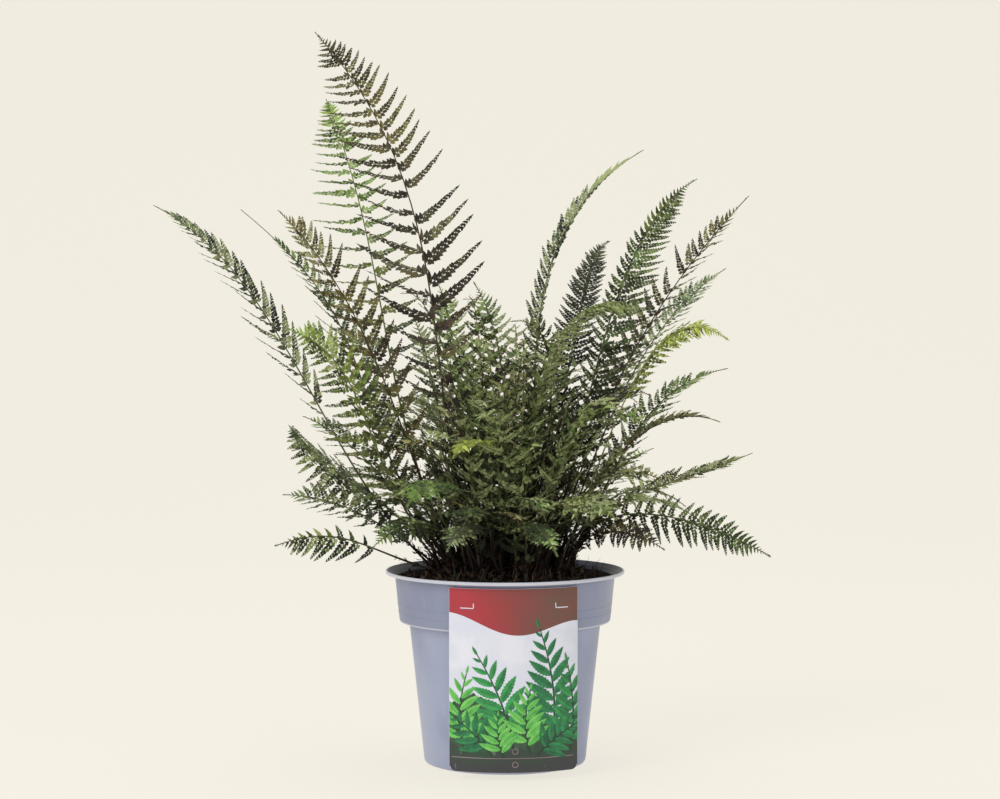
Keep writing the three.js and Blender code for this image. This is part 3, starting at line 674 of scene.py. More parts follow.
def stalk_form(frond):
    shares = np.linspace(0, 0.995, STALK_RINGS)
    places, frames, widths = [], [], []
    _, along, across, _ = frond.frame(0)
    straight = unit(lerp(along, vec(0, 0, 1), 0.72))
    places.append(frond.knots[0] - straight * (ROOT_DEPTH + ROOT_STANDS_OUT))
    frames.append((unit(across - straight * (across @ straight)), unit(np.cross(across, straight))))
    widths.append(STALK_RADII[0])
    for share in shares:
        place, _, across, upper = frond.frame(share)
        places.append(place)
        frames.append((across, upper))
        widths.append(lerp(*STALK_RADII, share**0.8))
    widths = np.array(widths)
    return tube(places, frames, widths, 0.9 * widths, sides=6, along=[0, *shares], finish=1)


def scale_forms(frond, draw):
    """Papery brown scales on the lower stalk."""
    forms = []
    for _ in range(SCALE_COUNT):
        share = SCALES_TO * draw() ** 1.4
        place, along, across, upper = frond.frame(share)
        angle = draw(0, 2 * math.pi)
        out = math.cos(angle) * across + math.sin(angle) * upper
        length = draw(2.4, 6.4) * (1 - 2.2 * share)
        way = unit(along * draw(0.5, 1.1) + out * draw(0.35, 0.9))
        forms.append(papery_scale(place + out * 0.6, way, out, length, draw(), share, 2))
    return forms


def leaflet_length(frond, here):
    """The solids' outline of the blade, read at a place on the stalk."""
    if here < frond.bare:
        low = FIRST_LEAFLET * frond.bare
        return frond.reach * lerp(0.42, 0.62, max(0, here - low) / (frond.bare - low))
    share = (here - frond.bare) / ((1 - frond.bare) * 0.985)
    share = 1 - max(0, 1 - share) ** (1 / CROWDING)
    return frond.reach * (1 - share**LEAFLET_FULLNESS) * (0.62 + 0.38 * min(1, share / 0.2))


def eased(value, limits):
    share = min(1, max(0, (value - limits[0]) / (limits[1] - limits[0])))
    return share * share * (3 - 2 * share)


def leaf_shade(levels, place, light):
    """How light each lobe is painted, from 0 to 1: painted shade makes it less so low down and deep inside
    the clump.
    """
    out = math.hypot(place[0], place[1])
    low = (1 - eased(place[2], DIM_HEIGHTS)) * (1 - 0.8 * eased(out, OPEN_RADII))
    inside = (1 - eased(out, DIM_RADII)) * (1 - eased(place[2], INNER_HEIGHTS))
    dim = max(low, 0.12 * inside)
    stretched = np.clip(0.5 + 1.9 * (levels - 0.5), 0.02, 1)
    return np.minimum(1, light * stretched ** lerp(1, DIMMEST, dim) * lerp(1, 0.24, dim))


def leaflet_forms(frond, sizes, pairs_rule, look, draw):
    forms = []
    level = draw(*look.levels)
    low, last = look.first * frond.bare, look.last
    count = 2 * round(look.closeness * (pairs_rule[0] + pairs_rule[1] * (last - low) * frond.length))
    for i in range(count):
        share = (i + 0.5) / (count + 1)
        here = low + (last - low) * (1 - (1 - share) ** look.crowding)
        start, along, across, upper = frond.frame(here)
        side = 1 if i % 2 else -1
        if draw() < MISSING_LEAFLETS:
            continue
        growth = lerp(*look.growth, share) * look.sides[side > 0] * draw(0.86, 1.06)
        tail = min(1, (1 - here) * frond.length / look.tail) ** 0.8
        length = max(1.1, growth * tail * leaflet_length(frond, here))
        angle = math.radians(lerp(*look.angles, share) * (1 - 0.4 * share**12) + draw(-4, 4))
        rise = math.radians(frond.fold + look.rises[side > 0] + draw(-10, 10))
        out = side * math.cos(rise) * across + math.sin(rise) * upper
        tip = start + length * (
            (math.cos(angle) + LEAFLET_SWEEP) * along + math.sin(angle) * out
        )
        forms_here, mirror_forms = next(size[1:] for size in sizes if length >= size[0])
        pick = int(draw(0, len(forms_here) - 0.001))
        form = forms_here[pick] if side > 0 else mirror_forms[pick]
        cant = -side * (look.cants[side > 0] * lerp(1.1, 0.5, share) + draw(-16, 16))
        bow, sag = draw(*LEAFLET_BOW), draw(-0.04, 0.14) * length
        points = bent_leaflet(form, start, tip, along, upper, cant, bow, sag)
        levels = 0.34 * level + 0.28 * draw() + 0.38 * form.shade
        # the shade value holds random differences between lobes, the painted shade from leaf_shade and the
        # frond's painted light
        shade = leaf_shade(levels, lerp(start, tip, 0.6), lerp(*look.light, share))
        forms.append(form.placed(points, along=here + look.youth, shade=shade))
    return forms


def frond_forms(frond, sizes, pairs_rule, look, draw):
    leaflets = leaflet_forms(frond, sizes, pairs_rule, look, draw)
    return [stalk_form(frond), *scale_forms(frond, draw), *leaflets]


# Low and inner fronds that thicken the clump, round it by the golden angle:
# count, foot radius, reach outwards, rise, nod, longest leaflet, pairs, bare share, rise of the leaflets
LOW_FRONDS = (
    (26, 31, 86, 60, 26, 17, 8, 0.24, -4),
    (32, 24, 78, 96, 26, 19, 9, 0.22, 2),
    (20, 15, 56, 138, 14, 19, 10, 0.2, 8),
    (26, 35, 64, 36, 16, 15, 7, 0.12, -4),
)
LOW_SEED = 8087
LOW_DEPTH = 0.84  # how much less far they reach to the front and back
LOW_TONES = (
    ("deep", "blue", "deep", "bronze", "deep", "fresh"),
    ("deep", "fresh", "blue", "deep", "bronze", "deep", "blue"),
    ("fresh", "bronze", "deep", "fresh", "blue", "bronze"),
    ("deep", "blue", "deep", "bronze"),
)


def low_fronds():
    draw = Draw(LOW_SEED)
    for (count, root, out, up, nod, reach, pairs, bare, fold), tones in zip(LOW_FRONDS, LOW_TONES):
        for i in range(count):
            heading = math.radians(i * GOLDEN_ANGLE + 31 * root)
            foot_radius = root * draw(0.6, 1.15)
            far_out, high = out * draw(0.7, 1.2), up * draw(0.8, 1.15)
            foot = vec(foot_radius * math.cos(heading), foot_radius * math.sin(heading), 0)
            foot[2] = crown_top(foot[0], foot[1]) + ROOT_STANDS_OUT
            swing = draw(-0.35, 0.35)
            points = []
            for share in (1 / 3, 2 / 3, 1):
                far = lerp(foot_radius, far_out, share**1.25)
                rise = high * (1 - (1 - share) ** 1.8) - nod * share**3
                turn = heading + swing * share
                points.append(vec(far * math.cos(turn), LOW_DEPTH * far * math.sin(turn), foot[2] + rise))
            tone = tones[i % len(tones)]
            frond = Frond(root, points, reach, pairs, bare, draw(0, 0.3), fold, tone, heading)
            frond.set_curve(foot, 0)
            yield frond


# Round pieces drawn up ring by ring


def to_metres(piece):
    set_points(piece, points_of(piece) * MM)


def turned(name, profile, steps):
    """A closed round body, from (radius, height) pairs between the middles of its underside and its top."""
    deselect()
    radius, height = profile[0]
    bpy.ops.mesh.primitive_circle_add(vertices=steps, radius=radius, fill_type="NGON")
    piece = bpy.context.object
    piece.name = name
    bpy.ops.object.mode_set(mode="EDIT")
    bpy.ops.mesh.select_all(action="SELECT")
    bpy.ops.transform.translate(value=(0, 0, height))
    for next_radius, next_height in profile[1:]:
        bpy.ops.mesh.extrude_region_move(TRANSFORM_OT_translate={"value": (0, 0, next_height - height)})
        share = next_radius / radius
        bpy.ops.transform.resize(value=(share, share, 1), center_override=(0, 0, next_height))
        radius, height = next_radius, next_height
    bpy.ops.mesh.select_all(action="SELECT")
    bpy.ops.mesh.normals_make_consistent(inside=False)
    bpy.ops.object.mode_set(mode="OBJECT")
    return piece


def cut_away(piece, cutter):
    apply_modifier(piece, "BOOLEAN", operation="DIFFERENCE", object=cutter, solver="EXACT")
    bpy.data.objects.remove(cutter)


def dress(piece, finish, slot, *nodes):
    """The last steps of every piece: its finish, its body and the nodes it stands for. slot is not used."""
    if finish:
        piece.data.materials.clear()
        piece.data.materials.append(finish)
    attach(piece, BODY)
    if nodes:
        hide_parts(*nodes)
    return piece


# Pot

POT_STEPS = 112
COLLAR_LINE_HEIGHTS = (COLLAR_FOOT_HEIGHT + 5.2, COLLAR_FOOT_HEIGHT + 9.6)
COLLAR_LINE_RAISE = 0.16
FOOT_RECESS = 1.0


def collar_radius(height):
    share = (height - COLLAR_FOOT_HEIGHT) / (COLLAR_TOP_HEIGHT - COLLAR_FOOT_HEIGHT)
    return lerp(COLLAR_FOOT_RADIUS, COLLAR_TOP_RADIUS, share)


def pot_profile():
    foot = [
        (BASE_RADIUS - 6.0, FOOT_RECESS),
        (BASE_RADIUS - 5.2, 0.2),
        (BASE_RADIUS - 4.6, 0),
        (BASE_RADIUS - BASE_CHAMFER, 0),
        (BASE_RADIUS - 0.8, 0.6),
        (BASE_RADIUS - 0.15, 1.5),
        (BASE_RADIUS + 0.05, BASE_CHAMFER + 0.3),
    ]
    wall = [
        (lerp(BASE_RADIUS, BODY_TOP_RADIUS, share), lerp(BASE_CHAMFER, BODY_TOP_HEIGHT, share))
        for share in (0.2, 0.45, 0.7, 0.9, 0.985)
    ]
    step = [
        (BODY_TOP_RADIUS + 0.35, BODY_TOP_HEIGHT + 0.1),
        (COLLAR_FOOT_RADIUS - 1.0, COLLAR_FOOT_HEIGHT - 0.3),
        (COLLAR_FOOT_RADIUS - 0.3, COLLAR_FOOT_HEIGHT - 0.05),
        (COLLAR_FOOT_RADIUS, COLLAR_FOOT_HEIGHT + 0.4),
    ]
    collar = []
    for height in COLLAR_LINE_HEIGHTS:
        for rise, raised in ((-0.35, 0), (-0.1, 1), (0.15, 1), (0.4, 0)):
            collar.append((collar_radius(height + rise) + raised * COLLAR_LINE_RAISE, height + rise))
    rim = [
        (COLLAR_TOP_RADIUS - 0.1, COLLAR_TOP_HEIGHT - 1.0),
        (COLLAR_TOP_RADIUS + 0.25, COLLAR_TOP_HEIGHT + 0.1),
        (RIM_RADIUS - 1.5, POT_HEIGHT - 2.0),
        (RIM_RADIUS - 0.6, POT_HEIGHT - 1.85),
        (RIM_RADIUS - 0.15, POT_HEIGHT - 1.55),
        (RIM_RADIUS, POT_HEIGHT - 1.0),
        (RIM_RADIUS - 0.1, POT_HEIGHT - 0.4),
        (RIM_RADIUS - 0.45, POT_HEIGHT - 0.06),
        (RIM_RADIUS - 0.9, POT_HEIGHT),
        (RIM_RADIUS - 1.4, POT_HEIGHT - 0.25),
        (RIM_RADIUS - 1.8, POT_HEIGHT - 0.7),
    ]
    inside = [
        (COLLAR_TOP_RADIUS - WALL + 0.7, COLLAR_TOP_HEIGHT + 0.55),
        (COLLAR_TOP_RADIUS - WALL, COLLAR_TOP_HEIGHT - 0.3),
        (COLLAR_FOOT_RADIUS - WALL, COLLAR_FOOT_HEIGHT + 1.1),
        (BODY_TOP_RADIUS - WALL, BODY_TOP_HEIGHT - 0.5),
        (BASE_RADIUS - WALL - 0.6, FLOOR),
    ]
    return foot + wall + step + collar + rim + inside


def mark_shaded_inside(pot):
    """The faces inside the pot take the second finish, which paints the inside darker as shade."""
    for polygon in pot.data.polygons:
        x, y, z = polygon.center
        if z > FLOOR and polygon.normal.x * x + polygon.normal.y * y < 0:
            polygon.material_index = 1


def make_pot(finishes):
    pot = turned("pot_shell", pot_profile(), POT_STEPS)
    for i in range(DRAINS):
        angle = (i + 0.5) / DRAINS * 2 * math.pi
        place = (DRAIN_RING_RADIUS * math.cos(angle), DRAIN_RING_RADIUS * math.sin(angle), 0)
        deselect()
        bpy.ops.mesh.primitive_cylinder_add(vertices=28, radius=DRAIN_RADIUS, depth=8, location=place)
        cut_away(pot, bpy.context.object)
    pot.data.materials.clear()
    for finish in finishes:
        pot.data.materials.append(finish)
    mark_shaded_inside(pot)
    to_metres(pot)
    shade_smooth(pot, 28)
    dress(pot, None, "pot", "pot")


# Label, laid out flat: x across from its middle, y up from its foot, lift off its face

LABEL_FACE_RADIUS = LABEL_INNER_RADIUS + LABEL_THICKNESS
LABEL_HALF = LABEL_FACE_RADIUS * math.asin(LABEL_WIDTH / 2 / LABEL_FACE_RADIUS)
LABEL_BOTTOM = LABEL_TOP_HEIGHT - LABEL_HEIGHT
LABEL_COLUMNS = 36
LABEL_ROWS = 52
SLIT_DROP = 10.5
SLIT_SIZE = (7.4, 0.8)
SLIT_HOOK = 2.6
INK = 0.05  # how far a printed shape stands off the card
PUNCH_HEIGHTS = (4.4, 11.4)
PUNCH_RADIUS = 1.45
SPRIG_SEED = 911


def on_label(points):
    x, y, lift = points.T
    radius = LABEL_FACE_RADIUS + lift
    turn = math.radians(LABEL_TURN) + x / LABEL_FACE_RADIUS
    return np.stack([radius * np.sin(turn), -radius * np.cos(turn), LABEL_BOTTOM + y], axis=1)


def make_label_card(finish):
    deselect()
    bpy.ops.mesh.primitive_grid_add(x_subdivisions=LABEL_COLUMNS, y_subdivisions=LABEL_ROWS, size=1)
    card = bpy.context.object
    card.name = "label_card"
    points = points_of(card)
    for point in points:
        share = (point[1] + 0.5) ** 1.25
        y = share * LABEL_HEIGHT
        x = 2 * point[0] * LABEL_HALF
        flat = LABEL_HALF - LABEL_CORNER
        if y < LABEL_CORNER and abs(x) > flat:
            squeeze = math.sqrt(max(0.01, 1 - (1 - y / LABEL_CORNER) ** 2))
            x = math.copysign(flat + (abs(x) - flat) * squeeze, x)
        point[:] = (x, y, 0)
    set_points(card, points)
    apply_modifier(card, "SOLIDIFY", thickness=LABEL_THICKNESS, offset=-1)
    face_outwards(card, merge=1e-4)
    for side in (-1, 1):
        middle = side * 0.38 * LABEL_WIDTH
        deselect()
        bpy.ops.mesh.primitive_cube_add(size=1, location=(middle, LABEL_HEIGHT - SLIT_DROP, 0))
        cutter = bpy.context.object
        cutter.scale = (SLIT_SIZE[0], SLIT_SIZE[1], 6)
        cut_away(card, cutter)
        hook = (middle - side * SLIT_SIZE[0] / 2, LABEL_HEIGHT - SLIT_DROP + SLIT_HOOK / 2, 0)
        bpy.ops.mesh.primitive_cube_add(size=1, location=hook)
        cutter = bpy.context.object
        cutter.scale = (SLIT_SIZE[1], SLIT_HOOK + SLIT_SIZE[1], 6)
        cut_away(card, cutter)
    set_points(card, on_label(points_of(card)))
    to_metres(card)
    shade_smooth(card, 30)
    dress(card, finish, "label", "label")


def plate(low, high, back, front, shade=0.5, finish=0):
    """A closed thin plate on the label between two edges with as many points each."""
    count = len(low)
    rows = [np.column_stack((edge, np.full(count, lift))) for lift in (back, front) for edge in (low, high)]
    low_back, high_back, low_front, high_front = (k * count for k in range(4))
    share = np.linspace(0, 1, count)
    uv_low, uv_high = np.column_stack((share, 0 * share)), np.column_stack((share, 0 * share + 1))
    spread = np.concatenate((uv_low, uv_high, uv_low, uv_high))
    corners = []

    def quad(a, b, c, d):
        corners.extend(((a, b, c), (a, c, d)))

    for i in range(count - 1):
        quad(low_front + i, low_front + i + 1, high_front + i + 1, high_front + i)
        quad(low_back + i, high_back + i, high_back + i + 1, low_back + i + 1)
        quad(low_back + i, low_back + i + 1, low_front + i + 1, low_front + i)
        quad(high_front + i, high_front + i + 1, high_back + i + 1, high_back + i)
    last = count - 1
    quad(low_back, low_front, high_front, high_back)
    quad(low_back + last, high_back + last, high_front + last, low_front + last)
    corners = np.array(corners)
    return Form(np.concatenate(rows), corners, spread[corners], shade=shade, finish=finish)


def card_edge(x):
    """How high the card's rounded lower edge is at x."""
    over = np.clip(np.abs(x) - (LABEL_HALF - LABEL_CORNER), 0, LABEL_CORNER)
    return LABEL_CORNER - np.sqrt(LABEL_CORNER**2 - over**2)


def top_band():
    x = np.linspace(-LABEL_HALF + 0.15, LABEL_HALF - 0.15, 40)
    share = (x / LABEL_HALF + 1) / 2
    low = LABEL_HEIGHT - 13 - 9 * np.sin(math.pi * share) ** 2 - 5 * share
    high = np.full_like(x, LABEL_HEIGHT - 0.15)
    return plate(np.column_stack((x, low)), np.column_stack((x, high)), -0.02, INK)


def foot_band():
    x = np.linspace(-LABEL_HALF + 0.15, LABEL_HALF - 0.15, 60)
    share = (x / LABEL_HALF + 1) / 2
    hills = 13 + 3 * np.sin(5.2 * share + 2.9) + 1.6 * np.sin(13 * share + 2) + 0.6 * np.sin(37 * share)
    return plate(np.column_stack((x, card_edge(x) + 0.12)), np.column_stack((x, hills)), -0.02, INK)


def thicket_band():
    """A dark ragged mass of growth behind the sprigs."""
    x = np.linspace(-LABEL_HALF + 0.15, LABEL_HALF - 0.15, 90)
    share = (x / LABEL_HALF + 1) / 2
    ragged = 1.6 * np.abs(np.sin(41 * share)) + 1.1 * np.abs(np.sin(67 * share + 1))
    high = 30 + 7 * np.sin(5.2 * share + 0.4) + 3 * np.sin(11 * share) + ragged
    return plate(np.column_stack((x, 0 * x + 6)), np.column_stack((x, high)), -0.02, 0.03)


def print_leaf(start, heading, length, width, lift, shade, finish):
    t = np.linspace(0, 1, 19)
    teeth = np.where(np.arange(19) % 2, 1.0, 0.78)
    half = width * teeth * np.sin(math.pi * t**0.8) ** 0.85 + 0.03
    bow = 0.1 * length * t * (1 - t)
    ahead = np.array([math.cos(heading), math.sin(heading)])
    side = np.array([-ahead[1], ahead[0]])
    middle = start + np.outer(length * t, ahead) + np.outer(bow, side)
    inside = (LABEL_HALF - 0.2, LABEL_HEIGHT - 1)
    low = np.clip(middle - np.outer(half, side), (-inside[0], 1), inside)
    high = np.clip(middle + np.outer(half, side), (-inside[0], 1), inside)
    return plate(low, high, lift - 0.06, lift, shade=shade, finish=finish)


# Sprigs: foot, middle and tip of the stem, longest leaf, leaf pairs, ink, lift
SPRIGS = (
    ((20, 14), (25, 42), (13, 76), 19, 8, 0, 0.12),
    ((-1, 12), (-4, 36), (-20, 62), 18, 7, 1, 0.10),
    ((-27, 10), (-33, 28), (-26, 52), 15, 6, 2, 0.14),
    ((31, 10), (36, 30), (29, 58), 16, 6, 1, 0.16),
    ((-12, 9), (-20, 20), (-33, 29), 13, 5, 0, 0.18),
    ((8, 10), (3, 24), (8, 44), 13, 6, 2, 0.19),
    ((12, 9), (20, 18), (34, 24), 12, 5, 0, 0.21),
    ((-6, 8), (-10, 16), (-9, 30), 10, 5, 2, 0.22),
)


def sprig_forms(draw):
    forms = []
    for foot, middle, tip, longest, pairs, ink, lift in SPRIGS:
        foot, middle, tip = (np.array(point, float) for point in (foot, middle, tip))
        t = np.linspace(0, 1, 13)[:, None]
        line = (1 - t) ** 2 * foot + 2 * t * (1 - t) * middle + t**2 * tip
        ahead = np.gradient(line, axis=0)
        ahead /= np.linalg.norm(ahead, axis=1, keepdims=True)
        side = np.column_stack((-ahead[:, 1], ahead[:, 0])) * np.linspace(0.7, 0.25, 13)[:, None]
        forms.append(plate(line - side, line + side, lift - 0.09, lift - 0.02, finish=3))
        for k in range(2 * pairs):
            share = 0.12 + 0.84 * (k + 0.5) / (2 * pairs)
            place = (1 - share) ** 2 * foot + 2 * share * (1 - share) * middle + share**2 * tip
            way = 2 * (1 - share) * (middle - foot) + 2 * share * (tip - middle)
            heading = math.atan2(way[1], way[0]) + (1 if k % 2 else -1) * lerp(1.15, 0.6, share)
            length = longest * (1 - share**2.2) + 2.5
            rise = lift + 0.004 * (k % 3)
            forms.append(print_leaf(place, heading, length, 0.16 * length, rise, draw(), ink))
        way = tip - middle
        forms.append(
            print_leaf(tip, math.atan2(way[1], way[0]), 0.3 * longest, 0.05 * longest, lift, draw(), ink)
        )
    return forms


def punch_form(height):
    deselect()
    bpy.ops.mesh.primitive_torus_add(
        major_radius=PUNCH_RADIUS, minor_radius=0.2, major_segments=28, minor_segments=6
    )
    form = form_of(bpy.context.object)
    return form.placed(form.points * (1, 1, 0.5) + (0, height, 0.05))


def slit_edge_forms():
    """The pale cut edges of the two hooked slits, on the band."""
    forms = []
    for side in (-1, 1):
        middle, height = side * 0.38 * LABEL_WIDTH, LABEL_HEIGHT - SLIT_DROP
        hook = middle - side * SLIT_SIZE[0] / 2
        for left, right, low, high in (
            (middle - SLIT_SIZE[0] / 2, middle + SLIT_SIZE[0] / 2, height - 0.25, height + 0.25),
            (hook - 0.25, hook + 0.25, height + 0.25, height + SLIT_HOOK),
        ):
            x = np.linspace(left, right, 8)
            forms.append(plate(np.column_stack((x, 0 * x + low)), np.column_stack((x, 0 * x + high)), 0, 0.1))
    return forms


def make_label(finishes):
    make_label_card(finishes["card"])
    crease = np.linspace(-LABEL_HALF + 1.5, LABEL_HALF - 3, 30)
    crease_low, crease_high = (np.column_stack((crease, 0 * crease + y)) for y in (7.55, 7.85))
    prints = (
        ("label_top_band", top_band(), [finishes["band"]]),
        ("label_thicket", thicket_band(), [finishes["thicket"]]),
        ("label_foot_band", foot_band(), [finishes["foot"]]),
        ("label_sprigs", gather(sprig_forms(Draw(SPRIG_SEED))), finishes["leaves"]),
        ("label_crease", plate(crease_low, crease_high, 0, 0.09), [finishes["crease"]]),
        ("label_punches", gather([punch_form(y) for y in PUNCH_HEIGHTS]), [finishes["crease"]]),
        ("label_slits", gather(slit_edge_forms()), [finishes["card"]]),
    )
    for name, form, inks in prints:
        piece = make_piece(name, form.placed(on_label(form.points)), inks)
        dress(piece, None, "label")


# Soil and crown

SOIL_STEPS = 120
CROWN_STEPS = 72
CRUMB_COUNT = 1300
FIBRE_COUNT = 90
TUFT_COUNT = 170
CROWN_SCALE_COUNT = 700
STUB_COUNT = 90
SOIL_SEED = 77
CROWN_SEED = 131
POT_INSIDE_GAP = 0.4


def soil_height(x, y):
    lumps = 1.1 * noise.noise((x / 9, y / 9, 3.0))
    return SOIL_EDGE_HEIGHT + lumps + 0.5 * noise.noise((x / 3.5, y / 3.5, 8.0))


def make_soil(finishes, draw):
    edge = collar_radius(SOIL_EDGE_HEIGHT) - WALL - POT_INSIDE_GAP - 0.4
    base = BASE_RADIUS - WALL - 0.6 - POT_INSIDE_GAP
    profile = [
        (base - 1, FLOOR + POT_INSIDE_GAP),
        (base, FLOOR + POT_INSIDE_GAP + 0.5),
        (BODY_TOP_RADIUS - WALL - POT_INSIDE_GAP, BODY_TOP_HEIGHT),
        (COLLAR_FOOT_RADIUS - WALL - POT_INSIDE_GAP - 0.3, COLLAR_FOOT_HEIGHT + 1.6),
        (edge, SOIL_EDGE_HEIGHT - 1.2),
    ]
    rings = np.linspace(edge - 0.5, CROWN_RADIUS - 1.5, 11)
    profile += [(radius, SOIL_EDGE_HEIGHT) for radius in rings]
    profile += [(CROWN_RADIUS - 2.2, SOIL_EDGE_HEIGHT - 6), (2, SOIL_EDGE_HEIGHT - 6)]
    soil = turned("soil_mix", profile, SOIL_STEPS)
    points = points_of(soil)
    for point in points:
        if point[2] > SOIL_EDGE_HEIGHT - 0.5:
            point[2] = soil_height(point[0], point[1])
    set_points(soil, points)
    to_metres(soil)
    shade_smooth(soil, 60)
    dress(soil, finishes["mix"], "soil", "soil")
    crumbs = make_piece("soil_crumbs", gather(crumb_forms(draw, edge)), finishes["crumbs"])
    dress(crumbs, None, "soil")
    fibres = make_piece("soil_fibres", gather(fibre_forms(draw, edge)), [finishes["fibre"]])
    dress(fibres, None, "soil")


def model_crumb(name, draw):
    deselect()
    bpy.ops.mesh.primitive_ico_sphere_add(subdivisions=1, radius=0.5)
    crumb = bpy.context.object
    crumb.name = name
    points = points_of(crumb)
    for point in points:
        point *= draw(0.65, 1.25)
    set_points(crumb, points)
    return form_of(crumb)


def turned_at_random(points, draw):
    for axis in ((1, 0, 0), (0, 1, 0), (0, 0, 1)):
        points = turn_about(points, axis, draw(0, 360))
    return points


def crumb_forms(draw, edge):
    crumbs = [model_crumb(f"crumb_{k}", draw) for k in range(5)]
    forms = []
    for i in range(CRUMB_COUNT):
        crumb = crumbs[i % len(crumbs)]
        radius = math.sqrt(lerp((0.62 * CROWN_RADIUS) ** 2, (edge - 1.6) ** 2, draw()))
        angle = draw(0, 2 * math.pi)
        x, y = radius * math.cos(angle), radius * math.sin(angle)
        size = lerp(0.9, 3.4, draw() ** 2.2)
        kind = 2 if draw() > 0.982 else 1 if draw() > 0.8 else 0
        shape = (1, 1, 1) if kind != 1 else (1.9, 0.8, 0.4)
        points = turned_at_random(crumb.points * shape, draw) * size
        floor = max(soil_height(x, y), crown_top(x, y) - 1.2 if radius < CROWN_RADIUS else 0)
        points += (x, y, floor + 0.18 * size)
        forms.append(Form(points, crumb.corners, shade=draw(), finish=kind))
    return forms


def fibre_forms(draw, edge):
    forms = []
    for _ in range(FIBRE_COUNT):
        radius = draw(0.75 * CROWN_RADIUS, edge - 4)
        angle, way = draw(0, 2 * math.pi), draw(0, 2 * math.pi)
        x, y = radius * math.cos(angle), radius * math.sin(angle)
        length, bow, lift = draw(4, 13), draw(-1.5, 1.5), draw(0.4, 2.4)
        t = np.linspace(-0.5, 0.5, 7)
        px = x + length * t * math.cos(way) - bow * (1 - 4 * t**2) * math.sin(way)
        py = y + length * t * math.sin(way) + bow * (1 - 4 * t**2) * math.cos(way)
        inside = np.minimum(1, (edge - 1.2) / np.hypot(px, py))
        pz = [soil_height(a, b) + 0.3 + lift * (1 - 4 * s**2) for a, b, s in zip(px, py, t)]
        places = np.column_stack((px * inside, py * inside, pz))
        across = vec(-math.sin(way), math.cos(way), 0)
        width = 0.16 * np.sin(np.linspace(0.5, math.pi - 0.5, 7))
        forms.append(tube(places, [(across, vec(0, 0, 1))] * 7, width, width, sides=4))
    return forms


def tuft_forms(draw):
    """Dry curled hairs and rootlets that stand up round the foot of the stalks."""
    forms = []
    for _ in range(TUFT_COUNT):
        radius, angle = CROWN_RADIUS * math.sqrt(draw(0.5, 1.5)), draw(0, 2 * math.pi)
        foot = vec(radius * math.cos(angle), radius * math.sin(angle), 0)
        ground = crown_top if radius < CROWN_RADIUS else soil_height
        foot[2] = ground(foot[0], foot[1]) - 0.5
        height, curl, turns, start = draw(5, 18), draw(1.2, 4.4), draw(0.4, 1.3), draw(0, 6.28)
        t = np.linspace(0, 1, 9)
        swing = start + 2 * math.pi * turns * t
        rise = height * t * (1 - 0.4 * t)
        places = foot + np.column_stack((curl * t * np.cos(swing), curl * t * np.sin(swing), rise))
        frames = [(vec(1, 0, 0), vec(0, 1, 0))] * 9
        widths = 0.2 * (1.1 - t)
        form = tube(places, frames, widths, widths, sides=4)
        forms.append(form.placed(form.points, shade=draw()))
    return forms


def make_crown(finishes, draw):
    shares = (0.985, 0.95, 0.88, 0.8, 0.7, 0.6, 0.5, 0.4, 0.3, 0.2, 0.1, 0.03)
    rings = [CROWN_RADIUS * share for share in shares]
    profile = [(CROWN_RADIUS - 2, CROWN_SEAT_HEIGHT), (CROWN_RADIUS, CROWN_SEAT_HEIGHT + 1)]
    profile += [(radius, SOIL_EDGE_HEIGHT + 2 + 0.01 * i) for i, radius in enumerate(rings)]
    crown = turned("crown_mass", profile, CROWN_STEPS)
    points = points_of(crown)
    for point in points:
        if point[2] > SOIL_EDGE_HEIGHT:
            x, y = point[:2]
            rough = 0.9 * noise.noise((x / 4, y / 4, 1.0)) + 0.5 * noise.noise((x / 1.8, y / 1.8, 5.0))
            point[2] = crown_top(x, y) - 0.4 + rough
    set_points(crown, points)
    to_metres(crown)
    shade_smooth(crown, 60)
    dress(crown, finishes["mass"], "crown", "crown")
    scales = make_piece("crown_scales", gather(crown_scale_forms(draw)), [finishes["scale"]])
    dress(scales, None, "crown")
    stubs = make_piece("crown_stubs", gather(stub_forms(draw)), [finishes["stub"]])
    dress(stubs, None, "crown")
    tufts = make_piece("crown_tufts", gather(tuft_forms(draw)), [finishes["tuft"]])
    dress(tufts, None, "crown")


def papery_scale(base, way, out, length, shade, share=0.0, finish=0):
    """A pointed dry scale: a shallow closed boat."""
    side = unit(np.cross(way, out))
    tip = base + length * way
    belly = lerp(base, tip, 0.4) + 0.12 * length * out
    wide = 0.13 * length
    back = base - 0.1 * length * out
    points = [back, belly + side * wide, belly - side * wide, tip, belly - 0.08 * length * out]
    corners = [(0, 2, 1), (1, 2, 3), (0, 1, 4), (0, 4, 2), (1, 3, 4), (2, 4, 3)]
    return Form(points, corners, along=share, shade=shade, finish=finish)


def crown_scale_forms(draw):
    forms = []
    for _ in range(CROWN_SCALE_COUNT):
        radius = CROWN_RADIUS * math.sqrt(draw())
        angle = draw(0, 2 * math.pi)
        x, y = radius * math.cos(angle), radius * math.sin(angle)
        out = unit(vec(math.cos(angle) * radius / 30, math.sin(angle) * radius / 30, 1))
        way = unit(vec(draw(-1, 1), draw(-1, 1), 0) + out * draw(0.3, 1.6))
        out = unit(np.cross(np.cross(way, out), way))
        base = vec(x, y, crown_top(x, y) - 0.6)
        forms.append(papery_scale(base, way, out, draw(3, 8), draw()))
    return forms


